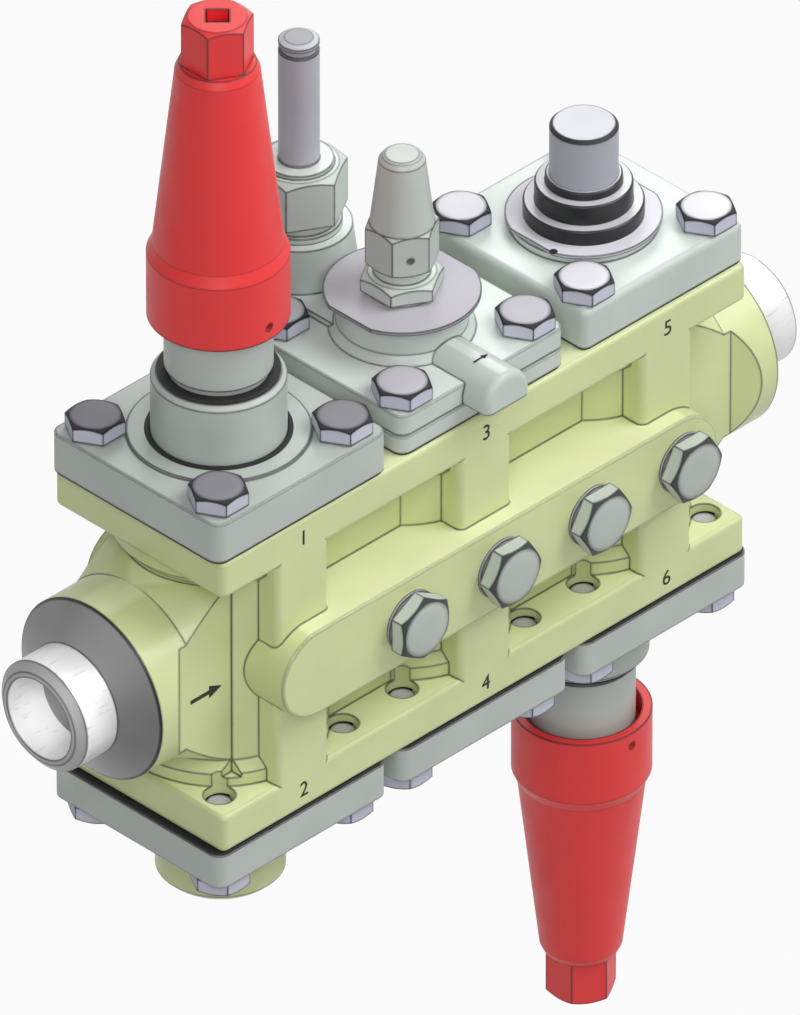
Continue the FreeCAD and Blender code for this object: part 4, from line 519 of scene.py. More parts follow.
# The plugs' end faces are painted darker and their chamfers near black: painted shade.
PLUG_ZINC = Finish("plug_zinc", srgb(190, 199, 194), 0.45, bump=0.006, axis=1,
                   chamfer_share=0.05, level_colour=srgb(178, 186, 179))
RED_COAT = Finish("red_coat", srgb(226, 48, 50), 0.45, bump=0.006, blotch=0.03)
DARK_GASKET = Finish("dark_gasket", srgb(22, 22, 24), 0.7, bump=0.02)
DISC_METAL = Finish("disc_metal", srgb(182, 180, 188), 0.6, bump=0.004, gloss=0.25)
# The regulator's disc: the same disc metal painted lighter: painted light.
DISC_METAL_PAINTED_LIGHT = Finish("disc_painted_light", srgb(216, 215, 224), 0.55, bump=0.004, gloss=0.3)
MARK_INK = Finish("mark_ink", srgb(20, 22, 18), 0.6, bump=0.01)
# The adapter's level step faces are painted light on the black: painted highlights.
BLACK_OXIDE = Finish("black_oxide", srgb(18, 18, 20), 0.35, bump=0.004, edge=0.5,
                     level_colour=srgb(200, 200, 206))
PIPE_METAL = WeldEndMetal("pipe_metal", srgb(232, 232, 233), 0.36, 0.2, bump=0.008,
                          along_x=True, axis=0)
# Level ends painted lighter and chamfers near black: painted light and painted shade.
STAINLESS = TurnedMetal("stainless", srgb(168, 170, 180), 0.45, bump=0.003, gloss=0.35,
                        level_colour=srgb(200, 200, 209), chamfer_share=0.05)
# The armature's level end painted darker and its chamfer lighter: painted shade and a painted
# highlight.
ARMATURE_METAL = TurnedMetal("armature_metal", srgb(178, 180, 189), 0.45, bump=0.003, gloss=0.35,
                             level_colour=srgb(158, 158, 164), chamfer_share=1.25)
TRIM_METAL = TurnedMetal("trim_metal", srgb(170, 170, 174), 0.3, 0.9, bump=0.01)
SPRING_METAL = Finish("spring_metal", srgb(150, 150, 154), 0.3, 0.9, bump=0.005)


def zinc(top_lighting: str, grey: int) -> Finish:
    """Return the zinc finish of one module's screws, whose tops have their own grey, lighter or
    darker as the light falls on that module: painted light and shade, with near-black chamfers as
    painted shade.
    """
    return Finish(f"zinc_top_light_{top_lighting}", srgb(196, 197, 212), 0.6, bump=0.006, gloss=0.2,
                  chamfer_share=0.06, level_colour=srgb(grey, grey - 1, grey + 6))


# Lit and shaded copies of the same zinc: the tops' greys are painted light and shade.
ZINC_SHADED_TOP = zinc("dark", 138)
ZINC_HALF_LIT_TOP = zinc("middle", 188)
ZINC_LIT_TOP = zinc("light", 226)

NODE_FINISHES: dict[str, Finish] = {
    "casting": CAST_PAINT,
    "weld_end": PIPE_METAL,
    "cover_grey": COVER_GREY,
    "cover_pale": COVER_LIGHT,
    "fastener": ZINC_HALF_LIT_TOP,
    "plug": PLUG_ZINC,
    "cap_red": RED_COAT,
    "gasket": DARK_GASKET,
    "stainless": STAINLESS,
    "washer": DISC_METAL,
    "valve_trim": TRIM_METAL,
    "spring": SPRING_METAL,
    "disc": DISC_METAL,
}
NODE_EXCEPTIONS: dict[str, Finish] = {
    "armature_tube": ARMATURE_METAL,
    "opener_cap": COVER_GREY,
    "regulator_disc": DISC_METAL_PAINTED_LIGHT,
}


@dataclass
class Wardrobe:
    """Builds each finish once for each centre and dresses nodes and pieces with it.

    Args:
        made: The materials built so far, by finish and centre.
    """

    frame: dict
    made: dict[tuple[str, Point], Material] = field(default_factory=dict)

    def material(self, finish: Finish, centre: Point = ORIGIN) -> Material:
        """Return a finish's material, centred in millimetres."""
        key = (finish.name, centre)
        if key not in self.made:
            self.made[key] = finish.build(centre)
        return self.made[key]

    def dress_nodes(self) -> None:
        """Give every node of the frame the finish of its slot."""
        for part in self.frame["record"]["subparts"]:
            node = self.frame["nodes"][part["node"]]
            low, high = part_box(part["node"])
            middle = (low + high) / 2 / MM
            finish = NODE_EXCEPTIONS.get(part["node"], NODE_FINISHES[part["material_slot"]])
            centred = isinstance(finish, TurnedMetal) and not finish.along_x
            centre = (round(middle.x, 2), round(middle.y, 2), 0.0) if centred else ORIGIN
            material = self.material(finish, centre)
            node.data.materials.clear()
            node.data.materials.append(material)


def put_in_scene(name: str, data: bpy.types.ID) -> bpy.types.Object:
    """Return a new object in the scene that holds some data."""
    thing = bpy.data.objects.new(name, data)
    bpy.context.scene.collection.objects.link(thing)
    return thing


def turn_towards(thing: bpy.types.Object, way: Vector) -> None:
    """Turn a lamp or a camera to look along a way."""
    thing.rotation_euler = way.to_track_quat("-Z", "Y").to_euler()


def add_piece(name: str, mesh: Mesh, body: str,
              replaced: tuple[str, ...] = ()) -> bpy.types.Object:
    """Put a finished mesh in the scene and tie it to the frame.

    Args:
        name: The piece's name.
        mesh: Its mesh, in place, in metres.
        body: The body that it moves with.
        replaced: The nodes that it stands for.

    Returns:
        The new object.
    """
    piece = put_in_scene(name, mesh)
    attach(piece, body)
    if replaced:
        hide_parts(*replaced)
    LOG.info("%s: %d faces on %s", name, len(mesh.polygons), body)
    return piece


def smooth_by_angle(mesh: Mesh, degrees: float = 35.0) -> None:
    """Shade a mesh smooth apart from its sharp edges."""
    mesh.shade_smooth()
    mesh.set_sharp_from_angle(angle=math.radians(degrees))


def mesh_from(name: str, shape: bmesh.types.BMesh) -> Mesh:
    """Return a shape as a new mesh, and free the shape."""
    mesh = bpy.data.meshes.new(name)
    shape.to_mesh(mesh)
    shape.free()
    return mesh


def joined_mesh(name: str, parts: list[Mesh], material: Material) -> Mesh:
    """Return several meshes as one with one material."""
    shape = bmesh.new()
    for part in parts:
        shape.from_mesh(part)
    mesh = mesh_from(name, shape)
    mesh.materials.append(material)
    return mesh


def evaluated_mesh(holder: bpy.types.Object) -> Mesh:
    """Return the plain mesh of an object's modifiers or curve."""
    depsgraph = bpy.context.evaluated_depsgraph_get()
    return bpy.data.meshes.new_from_object(holder.evaluated_get(depsgraph), depsgraph=depsgraph)


def turned_mesh(name: str, profile: Outline, column: float, side: Side) -> Mesh:
    """Turn a closed profile about a module's axis.

    Args:
        name: The mesh's name.
        profile: The profile's corners, as radius and height in millimetres.
        column: The X place of the axis, in millimetres.
        side: The flange that the heights point away from.

    Returns:
        The closed mesh, in metres.
    """
    shape = bmesh.new()
    rings = []
    for number in range(TURN_STEPS):
        angle = 2 * math.pi * number / TURN_STEPS
        x, y = math.cos(angle), math.sin(angle)
        corners = [((column + r * x) * MM, r * y * MM, side.value * h * MM) for r, h in profile]
        rings.append([shape.verts.new(corner) for corner in corners])
    for number, ring in enumerate(rings):
        following = rings[(number + 1) % TURN_STEPS]
        for corner in range(len(profile)):
            beyond = (corner + 1) % len(profile)
            shape.faces.new((ring[corner], following[corner], following[beyond], ring[beyond]))
    bmesh.ops.recalc_face_normals(shape, faces=shape.faces)
    mesh = mesh_from(name, shape)
    smooth_by_angle(mesh)
    return mesh


class GeometryTree(NodeTree):
    """A Geometry Nodes tree built in code."""

    prefix = "GeometryNode"

    def __init__(self, name: str) -> None:
        """Start a tree with a geometry output.

        Args:
            name: The tree's name.
        """
        super().__init__(bpy.data.node_groups.new(name, "GeometryNodeTree"))
        self.tree.interface.new_socket("Geometry", in_out="OUTPUT",
                                       socket_type="NodeSocketGeometry")
        self.entry = self.tree.nodes.new("NodeGroupInput")
        self.exit = self.tree.nodes.new("NodeGroupOutput")
        self.names: dict[str, str] = {}

    def socket(self, name: str, kind: str = "Float") -> Socket:
        """Add a named input and return its socket inside the tree."""
        item = self.tree.interface.new_socket(name, in_out="INPUT", socket_type=f"NodeSocket{kind}")
        self.names[name] = item.identifier
        return self.entry.outputs[name]

    def move(self, geometry: Socket, shift: Socket | Point = ORIGIN,
             turn: Socket | Point = ORIGIN) -> Socket:
        """Return a geometry moved by a vector and turned by Euler angles."""
        return self.out("Transform", {"Geometry": geometry, "Translation": shift, "Rotation": turn})

    def lift(self, geometry: Socket, height: Socket, share: float = 1.0) -> Socket:
        """Return a geometry lifted by a share of a height."""
        return self.move(geometry, self.vector(z=self.times(height, share)))

    def wound(self, steps: int, turns: Socket, radius: Socket, height: Socket, sides: int,
              wire: Socket) -> Socket:
        """Add a closed tube that climbs a helix from z = 0.

        Args:
            steps: The number of steps in a turn.
            turns: The number of turns.
            radius: The helix's radius.
            height: The helix's height.
            sides: The number of the tube's sides.
            wire: The tube's radius.

        Returns:
            The tube.
        """
        helix = self.out("CurveSpiral", {
            "Resolution": steps, "Rotations": turns, "Start Radius": radius,
            "End Radius": radius, "Height": height,
        })
        ring = self.out("CurvePrimitiveCircle", {"Resolution": sides, "Radius": wire})
        return self.out("CurveToMesh", {"Curve": helix, "Profile Curve": ring, "Fill Caps": True})

    def join(self, *parts: Socket) -> Socket:
        """Return several geometries as one."""
        node = self.add("JoinGeometry")
        for part in parts:
            self.tree.links.new(part, node.inputs[0])
        return node.outputs[0]

    def close(self, geometry: Socket) -> None:
        """End the tree in Realize Instances and Set Material."""
        material = self.socket("Material", "Material")
        real = self.out("RealizeInstances", {0: geometry})
        dressed = self.out("SetMaterial", {"Geometry": real, "Material": material})
        self.tree.links.new(dressed, self.exit.inputs[0])

    def mesh(self, name: str, values: dict) -> Mesh:
        """Run the tree with some values and return a plain mesh.

        Args:
            name: The mesh's name.
            values: The tree's inputs, by name.

        Returns:
            A mesh that needs the tree no more.
        """
        holder = put_in_scene(f"{name}_maker", bpy.data.meshes.new(f"{name}_maker"))
        modifier = holder.modifiers.new("maker", "NODES")
        modifier.node_group = self.tree
        for key, setting in values.items():
            modifier[self.names[key]] = setting
        mesh = evaluated_mesh(holder)
        holder.modifiers.remove(modifier)
        bpy.data.objects.remove(holder)
        mesh.name = name
        return mesh


def hexagon_fastener(tree: GeometryTree) -> Socket:
    """Add a hexagon head with its chamfer and a threaded shank, seated at z = 0.

    Args:
        tree: The tree that takes the nodes and the inputs.

    Returns:
        The fastener's geometry.
    """
    sockets = {name: tree.socket(name) for name in FASTENER_INPUTS}
    height = sockets["Washer face"]
    radius = tree.times(sockets["Flats"], WASHER_FACE_SHARE)
    face = tree.out("MeshCylinder", {"Vertices": HEAD_STEPS, "Radius": radius, "Depth": height})
    head = tree.lift(hexagon_head(tree, sockets), height)
    return tree.join(head, tree.lift(face, height, 0.5), threaded_shank(tree, sockets))


def hexagon_head(tree: GeometryTree, sockets: dict[str, Socket]) -> Socket:
    """Add a hexagon head whose chamfer leaves a flat circle on top.

    Args:
        tree: The tree that takes the nodes.
        sockets: The fastener's inputs by name.

    Returns:
        The head, standing on z = 0.
    """
    disc = tree.out("MeshCylinder", {
        "Vertices": HEAD_STEPS, "Side Segments": 1, "Fill Segments": HEAD_RINGS, "Radius": 1.0,
        "Depth": 2.0,
    }, fill_type="TRIANGLE_FAN")
    x, y, z = tree.parts(tree.out("InputPosition"))
    reach = tree.reach(x, y)
    angle = tree.math("ARCTAN2", y, x)
    sixth = math.pi / 3
    within = tree.math("SUBTRACT", tree.math("FLOORED_MODULO", angle, sixth), sixth / 2)
    edge = tree.math("DIVIDE", tree.times(sockets["Flats"], 0.5), tree.math("COSINE", within))
    outer = tree.math("GREATER_THAN", reach, (HEAD_RINGS - 0.5) / HEAD_RINGS)
    flat_part = tree.times(sockets["Circle"], HEAD_RINGS / (HEAD_RINGS - 1), reach)
    radius = tree.out("Mix", {0: outer, 2: flat_part, 3: edge}, prefix="ShaderNode")
    upper = tree.math("GREATER_THAN", z, 0.0)
    past_circle = tree.math("SUBTRACT", edge, sockets["Circle"])
    rim = tree.times(past_circle, math.tan(HEAD_SLOPE), outer, upper)
    height = tree.math("SUBTRACT", tree.times(sockets["Head"], upper), rim)
    across = [tree.times(radius, tree.math(way, angle)) for way in ("COSINE", "SINE")]
    place = tree.vector(*across, height)
    return tree.out("SetPosition", {"Geometry": disc, "Position": place})


def threaded_shank(tree: GeometryTree, sockets: dict[str, Socket]) -> Socket:
    """Add a shank with a helical thread, hanging below z = 0.

    Args:
        tree: The tree that takes the nodes.
        sockets: The fastener's inputs by name.

    Returns:
        The shank and its thread.
    """
    length, radius = sockets["Shank length"], sockets["Shank radius"]
    pitch = sockets["Thread pitch"]
    inner = tree.math("SUBTRACT", radius, tree.times(pitch, CORE_SHARE))
    core = tree.out("MeshCylinder", {"Vertices": SHANK_STEPS, "Radius": inner, "Depth": length})
    ridge = tree.times(pitch, RIDGE_SHARE)
    thread = tree.wound(THREAD_STEPS, tree.math("DIVIDE", length, pitch),
                        tree.math("SUBTRACT", radius, ridge), length, THREAD_SIDES, ridge)
    return tree.join(tree.lift(core, length, -0.5), tree.lift(thread, length, -1.0))


@dataclass(frozen=True)
class Fastener:
    """The sizes of a hexagon fastener, in millimetres.

    Args:
        flats: The width across the flats.
        head: The height of the head with its washer face.
        circle: The radius of the flat circle on top.
        shank_radius: The radius over the thread.
    """

    flats: float
    head: float
    circle: float
    shank_radius: float
    washer_face: float = 0.5
    thread_pitch: float = 1.5

    def inputs(self, shank_length: float) -> dict[str, float]:
        """Return the values of a fastener's inputs, in metres."""
        sizes = (self.flats, self.head - self.washer_face, self.circle, self.washer_face,
                 self.shank_radius, shank_length, self.thread_pitch)
        return {name: size * MM for name, size in zip(FASTENER_INPUTS, sizes)}


@dataclass
class CoverScrews:
    """Six sets of four hexagon screws that hold the covers."""

    wardrobe: Wardrobe
    screw: Fastener = Fastener(flats=17.0, head=6.0, circle=7.82, shank_radius=4.95)
    grip: float = 10.8
    flange_top: float = 55.0
    # Each module's screws take the zinc copy whose painted top light suits that place.
    modules: dict[str, tuple[int, Side, Finish]] = field(default_factory=lambda: {
        "inlet_stop": (1, Side.TOP, ZINC_SHADED_TOP),
        "strainer": (1, Side.BOTTOM, ZINC_HALF_LIT_TOP),
        "solenoid": (2, Side.TOP, ZINC_HALF_LIT_TOP),
        "check": (2, Side.BOTTOM, ZINC_HALF_LIT_TOP),
        "regulator": (3, Side.TOP, ZINC_LIT_TOP),
        "outlet_stop": (3, Side.BOTTOM, ZINC_HALF_LIT_TOP),
    })

    def tree(self) -> GeometryTree:
        """Return the tree that sets four screws on the corners of a square."""
        tree = GeometryTree("cover_screw_set")
        screw = hexagon_fastener(tree)
        names = ("Spacing", "Seat height", "Column", "Turn over")
        spacing, seat, column, turn = (tree.socket(name) for name in names)
        grid = tree.out("MeshGrid", {
            "Size X": spacing, "Size Y": spacing, "Vertices X": 2, "Vertices Y": 2,
        })
        corners = tree.lift(grid, seat)
        screws = tree.out("InstanceOnPoints", {"Points": corners, "Instance": screw})
        turned = tree.move(screws, turn=tree.vector(x=turn))
        tree.close(tree.move(turned, tree.vector(x=column)))
        return tree

    def build(self) -> None:
        """Make each module's four screws."""
        tree = self.tree()
        for module, (column, side, finish) in self.modules.items():
            seat = LAYOUT.upper_seat if side is Side.TOP else LAYOUT.lower_seat
            mesh = tree.mesh(f"{module}_hex_screws", {
                **self.screw.inputs(seat - self.flange_top + self.grip),
                "Spacing": 2 * LAYOUT.screw_place * MM,
                "Seat height": seat * MM,
                "Column": LAYOUT.column(column) * MM,
                "Turn over": 0.0 if side is Side.TOP else math.pi,
                "Material": self.wardrobe.material(finish),
            })
            smooth_by_angle(mesh)
            add_piece(f"{module}_hex_screws", mesh, STATION, (f"{module}_screws",))


@dataclass
class SidePlugs:
    """Four hexagon plugs in a row along the port rib, the first one turned a little."""

    wardrobe: Wardrobe
    plug: Fastener = Fastener(flats=20.0, head=6.2, circle=9.2, shank_radius=6.45)
    shank_length: float = 13.3
    rib_reach: float = 43.6
    washer: float = 1.3
    count: int = 4
    first_turn: float = 30.0

    def tree(self) -> GeometryTree:
        """Return the tree that sets the plugs in a row, facing -Y."""
        tree = GeometryTree("side_plug_row")
        plug = hexagon_fastener(tree)
        start, step = tree.socket("Start"), tree.socket("Step")
        depth, first_turn = tree.socket("Face"), tree.socket("First turn")
        row = tree.out("MeshLine", {
            "Count": self.count, "Start Location": tree.vector(start), "Offset": tree.vector(step),
        }, mode="OFFSET")
        is_first = tree.math("LESS_THAN", tree.out("InputIndex"), 0.5)
        spin = tree.vector(z=tree.times(is_first, first_turn))
        turned = tree.out("EulerToRotation", {0: spin}, prefix="FunctionNode")
        plugs = tree.out("InstanceOnPoints", {"Points": row, "Instance": plug})
        spun = tree.out("RotateInstances", {"Instances": plugs, "Rotation": turned})
        upright = tree.out("RotateInstances", {
            "Instances": spun, "Rotation": (math.pi / 2, 0.0, 0.0), "Local Space": False,
        })
        tree.close(tree.move(upright, tree.vector(y=tree.times(depth, -1.0))))
        return tree

    def build(self) -> None:
        """Make the four plugs."""
        mesh = self.tree().mesh("port_plugs", {
            **self.plug.inputs(self.shank_length),
            "Start": (LAYOUT.column(2) - LAYOUT.pitch / 2) * MM,
            "Step": LAYOUT.pitch / 2 * MM,
            "Face": (self.rib_reach + self.washer) * MM,
            "First turn": math.radians(self.first_turn),
            "Material": self.wardrobe.material(PLUG_ZINC),
        })
        smooth_by_angle(mesh)
        add_piece("port_plugs", mesh, STATION, ("side_plugs",))


@dataclass(frozen=True)
class SpringSize:
    """One compression spring and the joint that presses it, in millimetres.

    Args:
        node: The CAD node that the spring stands for.
        joint: The joint that shortens it; not used.
        coil: The middle radius of its coils.
        wire: The radius of its wire.
        turns: The number of its turns.
        fixed_end: The height of the end that stays; not used.
        travel: How far the other end moves; not used.
        shift_y: The Y place of its axis.
    """

    node: str
    joint: str
    coil: float
    wire: float
    turns: int
    fixed_end: float
    travel: float
    shift_y: float = 0.0


@dataclass
class Springs:
    """The three springs inside the middle column."""

    wardrobe: Wardrobe
    steps: int = 36
    wire_steps: int = 12
    smooth_angle: float = 60.0
    sizes: tuple[SpringSize, ...] = (
        SpringSize("piston_spring", "piston_lift", 9.5, 0.9, 5, 52.8, 10.0),
        SpringSize("plunger_spring", "plunger_lift", 4.0, 0.5, 7, 132.0, 2.5, LAYOUT.pilot_offset),
        SpringSize("check_spring", "check_lift", 7.2, 0.7, 4, -34.0, 8.0),
    )

    def tree(self) -> GeometryTree:
        """Return the tree that winds a wire from one height to another."""
        tree = GeometryTree("spring")
        coil, wire, turns = tree.socket("Coil"), tree.socket("Wire"), tree.socket("Turns")
        height, place = tree.socket("Height"), tree.socket("Place", "Vector")
        spring = tree.wound(self.steps, turns, coil, height, self.wire_steps, wire)
        tree.close(tree.move(spring, place))
        return tree

    def build(self) -> None:
        """Wind the springs and attach each one to the station."""
        tree = self.tree()
        for size in self.sizes:
            low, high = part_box(size.node)
            length = high.z - low.z
            axis = (LAYOUT.column(2) * MM, size.shift_y * MM)
            mesh = tree.mesh(f"{size.node}_coil", {
                "Coil": size.coil * MM,
                "Wire": size.wire * MM,
                "Turns": float(size.turns),
                "Height": length - 2 * size.wire * MM,
                "Place": (*axis, low.z + size.wire * MM),
                "Material": self.wardrobe.material(SPRING_METAL),
            })
            smooth_by_angle(mesh, self.smooth_angle)
            piece = add_piece(f"{size.node}_coil", mesh, STATION, (size.node,))
            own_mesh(piece)


@dataclass
class Numerals:
    """Plain numerals on the flanges, one for each module."""

    wardrobe: Wardrobe
    height: float = 5.6
    font_share: float = 1.4
    depth: float = 0.12
    upper_place: float = 47.6
    lower_place: float = -47.8
    count: int = 6

    def one(self, text: str, x: float, z: float) -> Mesh:
        """Return one numeral's mesh on the front face, centred at x and z in millimetres."""
        curve = bpy.data.curves.new(f"numeral_{text}", "FONT")
        curve.body = text
        curve.size = self.height * self.font_share * MM
        curve.extrude = self.depth * MM
        curve.align_x = curve.align_y = "CENTER"
        holder = put_in_scene(f"numeral_{text}", curve)
        mesh = evaluated_mesh(holder)
        bpy.data.objects.remove(holder)
        place = Matrix.Translation(Vector((x, LAYOUT.front_face, z)) * MM)
        mesh.transform(place @ Matrix.Rotation(math.radians(90), 4, "X"))
        return mesh

    def build(self) -> None:
        """Make the six numerals as one piece."""
        parts = []
        for number in range(1, self.count + 1):
            column = (number + 1) // 2
            z = self.upper_place if number % 2 else self.lower_place
            parts.append(self.one(str(number), LAYOUT.column(column), z))
        mesh = joined_mesh("module_numerals", parts, self.wardrobe.material(MARK_INK))
        add_piece("module_numerals", mesh, STATION)


@dataclass
class StopSeals:
    """Black rings on each stop valve, under its cap and round its foot: partly seals, partly
    painted shade where the undercut and the bonnet's foot lie in shade.
    """

    wardrobe: Wardrobe
    cap_inner: float = 15.9
    cap_outer: float = 19.3
    cap_seat: float = 93.0
    cap_height: float = 1.1
    foot_inner: float = 21.3
    foot_outer: float = 23.1
    foot_height: float = 0.5
    upper_land: float = 71.0
    lower_land: float = 69.2
    ease: float = 0.25

    def ring(self, inner: float, outer: float, seat: float, height: float) -> Outline:
        """Return a ring's profile with eased upper corners."""
        top = seat + height
        return [(inner, seat), (outer, seat), (outer, top - self.ease), (outer - self.ease, top),
                (inner + self.ease, top), (inner, top - self.ease)]

    def build(self) -> None:
        """Make both valves' rings."""
        cap_ring = self.ring(self.cap_inner, self.cap_outer, self.cap_seat, self.cap_height)
        for valve, column, side, land in (("inlet_stop", 1, Side.TOP, self.upper_land),
                                          ("outlet_stop", 3, Side.BOTTOM, self.lower_land)):
            foot_ring = self.ring(self.foot_inner, self.foot_outer, land, self.foot_height)
            rings = [turned_mesh(f"{valve}_ring", profile, LAYOUT.column(column), side)
                     for profile in (cap_ring, foot_ring)]
            # The dark rings stand partly for seals and partly for painted shade.
            mesh = joined_mesh(f"{valve}_seal_shade_rings", rings, self.wardrobe.material(DARK_GASKET))
            smooth_by_angle(mesh)
            add_piece(f"{valve}_seal_shade_rings", mesh, STATION)


@dataclass
class MotorAdapter:
    """The black stepped adapter that carries the motor valve's tube."""

    wardrobe: Wardrobe
    bore: float = 10.9
    seat: float = 73.8
    foot_radius: float = 19.1
    foot_top: float = 79.0
    ring_radius: float = 15.5
    ring_top: float = 86.0
    collar_radius: float = 12.2
    collar_top: float = 88.8
    ease: float = 0.5

    def build(self) -> None:
        """Turn the adapter about the motor valve's axis."""
        profile = [(self.bore, self.seat), (self.foot_radius, self.seat)]
        for radius, top, inner in ((self.foot_radius, self.foot_top, self.ring_radius),
                                   (self.ring_radius, self.ring_top, self.collar_radius),
                                   (self.collar_radius, self.collar_top, self.bore)):
            profile += [(radius, top - self.ease), (radius - self.ease, top), (inner, top)]
        mesh = turned_mesh("motor_adapter", profile, LAYOUT.column(3), Side.TOP)
        mesh.materials.append(self.wardrobe.material(BLACK_OXIDE))
        add_piece("motor_adapter", mesh, STATION, ("regulator_adapter",))


@dataclass
class FlowMarks:
    """Plain arrows that show the flow, and the motor valve's zero dot.

    An arrow's head and shaft are shares of its length, their widths halved.
    """

    wardrobe: Wardrobe
    depth: float = 0.12
    pad_place: Point = (48.8, -24.0, -3.0)
    pad_length: float = 13.5
    boss_place: Point = (158.5, -34.5, 74.6)
    boss_length: float = 6.0
    dot_place: Point = (216.2, -8.9, 73.8)
    dot_radius: float = 1.3
    dot_steps: int = 32
    head_width: float = 0.17
    head_length: float = 0.4
    shaft_width: float = 0.055

    def arrow(self, length: float) -> Outline:
        """Return an arrow's outline about its middle, pointing along +X."""
        tip, head, shaft = length / 2, self.head_width * length, self.shaft_width * length
        neck = tip - self.head_length * length
        return [(-tip, -shaft), (neck, -shaft), (neck, -head), (tip, 0.0), (neck, head),
                (neck, shaft), (-tip, shaft)]

    def dot(self) -> Outline:
        """Return the dot's outline about its middle."""
        steps = [2 * math.pi * number / self.dot_steps for number in range(self.dot_steps)]
        return [(self.dot_radius * math.cos(step), self.dot_radius * math.sin(step))
                for step in steps]

    def plate(self, outline: Outline, place: Point, upright: bool) -> Mesh:
        """Return a thin plate of an outline, flat at a place or upright facing -Y."""
        shape = bmesh.new()
        lower, upper = [[shape.verts.new((x * MM, y * MM, z * MM)) for x, y in outline]
                        for z in (-self.depth, self.depth)]
        shape.faces.new(list(reversed(lower)))
        shape.faces.new(upper)
        for number in range(len(outline)):
            beyond = (number + 1) % len(outline)
            shape.faces.new((lower[number], lower[beyond], upper[beyond], upper[number]))
        mesh = mesh_from("mark", shape)
        turn = Matrix.Rotation(math.radians(90), 4, "X") if upright else Matrix.Identity(4)
        mesh.transform(Matrix.Translation(Vector(place) * MM) @ turn)
        return mesh

    def build(self) -> None:
        """Make the marks as one piece."""
        marks = [self.plate(self.arrow(self.pad_length), self.pad_place, True),
                 self.plate(self.arrow(self.boss_length), self.boss_place, False),
                 self.plate(self.dot(), self.dot_place, False)]
        mesh = joined_mesh("flow_marks", marks, self.wardrobe.material(MARK_INK))
        add_piece("flow_marks", mesh, STATION)


@dataclass(frozen=True)
class Lamp:
    """A square lamp that faces the station, with its side in metres and its power in watts."""

    name: str
    place: Point
    size: float
    power: float

    def hang(self, target: Point) -> None:
        """Put the lamp in the scene and turn it towards a target."""
        data = bpy.data.lights.new(self.name, "AREA")
        data.size = self.size
        data.energy = self.power
        lamp = put_in_scene(self.name, data)
        lamp.location = self.place
        turn_towards(lamp, Vector(target) - lamp.location)


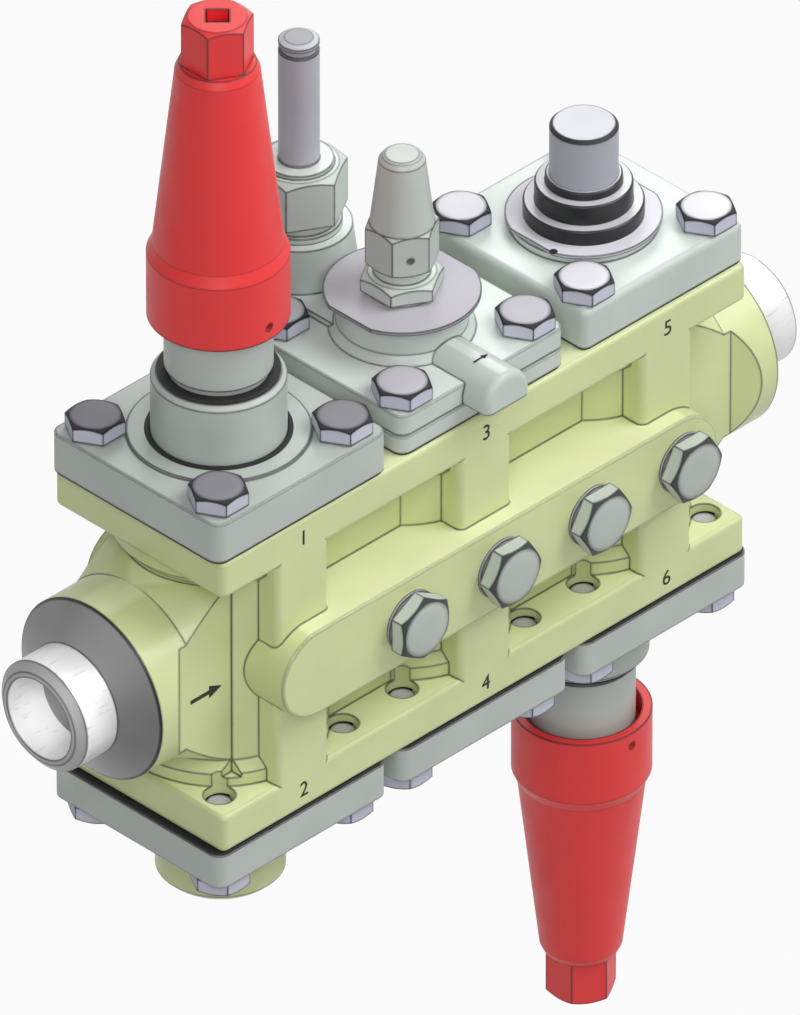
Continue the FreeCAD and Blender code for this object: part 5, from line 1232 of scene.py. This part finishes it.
@dataclass(frozen=True)
class Studio:
    """A pale floor, a soft sky, three lamps, a spot in the inlet's bore and the camera.

    Args:
        long_side: The width that the picture shows at the target, in metres.
        floor_gap: How far the floor lies under the station at rest, in metres.
        floor_white: The share of plain white that the camera sees on it.
        sky_base: The strength of the sky on every side.
        sky_up: What it gains straight up.
        bore_reach: The radius that the spot lights at the bore, in metres.
    """

    lens: float = 1200.0
    sensor: float = 36.0
    long_side: float = 0.3160
    target: Point = (0.15835, 0.00076, 0.00042)
    camera_way: Point = (-1.0, -1.0, 1.0)
    camera_reach: float = 100.0
    floor_gap: float = 0.0715
    floor_reach: float = 6.0
    floor_grey: float = 0.5
    floor_white: float = 0.93
    sky_base: float = 0.13
    sky_up: float = 0.33
    lamps: tuple[Lamp, ...] = (
        Lamp("key", (0.92, -0.86, 1.38), 1.2, 22.0),
        Lamp("glow", (0.556, 0.317, 0.387), 0.25, 1.1),
        Lamp("head", (-0.9967, -1.1543, 1.1551), 0.8, 14.0),
    )
    bore_power: float = 38.0
    bore_distance: float = 1.0
    bore_reach: float = 0.017
    bore_blend: float = 0.4
    bore_source: float = 0.01

    def floor(self, low: Vector) -> None:
        """Lay a pale floor that the lower cap clears when it is drawn off."""
        mesh = bpy.data.meshes.new("floor")
        reach = self.floor_reach
        z = low.z - self.floor_gap
        corners = [(-reach, -reach, z), (reach, -reach, z), (reach, reach, z), (-reach, reach, z)]
        mesh.from_pydata(corners, [], [(0, 1, 2, 3)])
        graph = Graph(bpy.data.materials.new("studio_floor"))
        plain = graph.out("BsdfDiffuse", {"Color": (*(self.floor_grey,) * 3, 1)})
        white = graph.out("Emission", {"Color": WHITE, "Strength": 1.0})
        share = graph.times(graph.seen_rays(), self.floor_white)
        mixed = graph.out("MixShader", {0: share, 1: plain, 2: white})
        mesh.materials.append(graph.finish(mixed))
        floor = put_in_scene("floor", mesh)
        floor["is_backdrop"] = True

    def world(self) -> None:
        """Surround the station with soft light on a white ground."""
        world = bpy.data.worlds.new("studio")
        bpy.context.scene.world = world
        graph = Graph(world)
        up = graph.parts(graph.add("TexCoord").outputs["Generated"])[2]
        gained = graph.times(graph.math("MAXIMUM", up, 0.0), self.sky_up)
        strength = graph.math("ADD", gained, self.sky_base)
        soft = graph.out("Background", {"Color": WHITE, "Strength": strength})
        white = graph.out("Background", {"Color": WHITE, "Strength": 1.0})
        mixed = graph.out("MixShader", {0: graph.seen_rays(), 1: soft, 2: white})
        graph.add("OutputWorld", {"Surface": mixed})

    def bore_lamp(self) -> None:
        """Hang a narrow spot that shines into the inlet's bore, at the origin."""
        data = bpy.data.lights.new("bore", "SPOT")
        data.energy = self.bore_power
        data.spot_size = 2 * math.atan(self.bore_reach / self.bore_distance)
        data.spot_blend = self.bore_blend
        data.shadow_soft_size = self.bore_source
        lamp = put_in_scene("bore", data)
        lamp.location = Vector(self.camera_way).normalized() * self.bore_distance
        turn_towards(lamp, -lamp.location)

    def camera(self) -> None:
        """Stand the camera at the picture's true isometric angle."""
        data = bpy.data.cameras.new("camera")
        data.lens = self.lens
        data.sensor_width = self.sensor
        data.clip_end = self.camera_reach
        camera = put_in_scene("camera", data)
        back = Vector(self.camera_way).normalized()
        camera.location = Vector(self.target) + back * (self.long_side * self.lens / self.sensor)
        turn_towards(camera, -back)
        bpy.context.scene.camera = camera

    def build(self, low: Vector) -> None:
        """Make the whole studio."""
        self.floor(low)
        self.world()
        for lamp in self.lamps:
            lamp.hang(self.target)
        self.bore_lamp()
        self.camera()
        bpy.context.scene.view_settings.view_transform = "Standard"


def main() -> None:
    """Dress the station."""
    logging.basicConfig(level=logging.INFO, format="%(name)s: %(message)s")
    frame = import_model()
    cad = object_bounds()
    wardrobe = Wardrobe(frame)
    wardrobe.dress_nodes()
    for assembly in (CoverScrews, SidePlugs, Springs, Numerals, StopSeals, MotorAdapter, FlowMarks):
        assembly(wardrobe).build()
    Studio().build(cad[0])


if __name__ == "__main__":
    main()
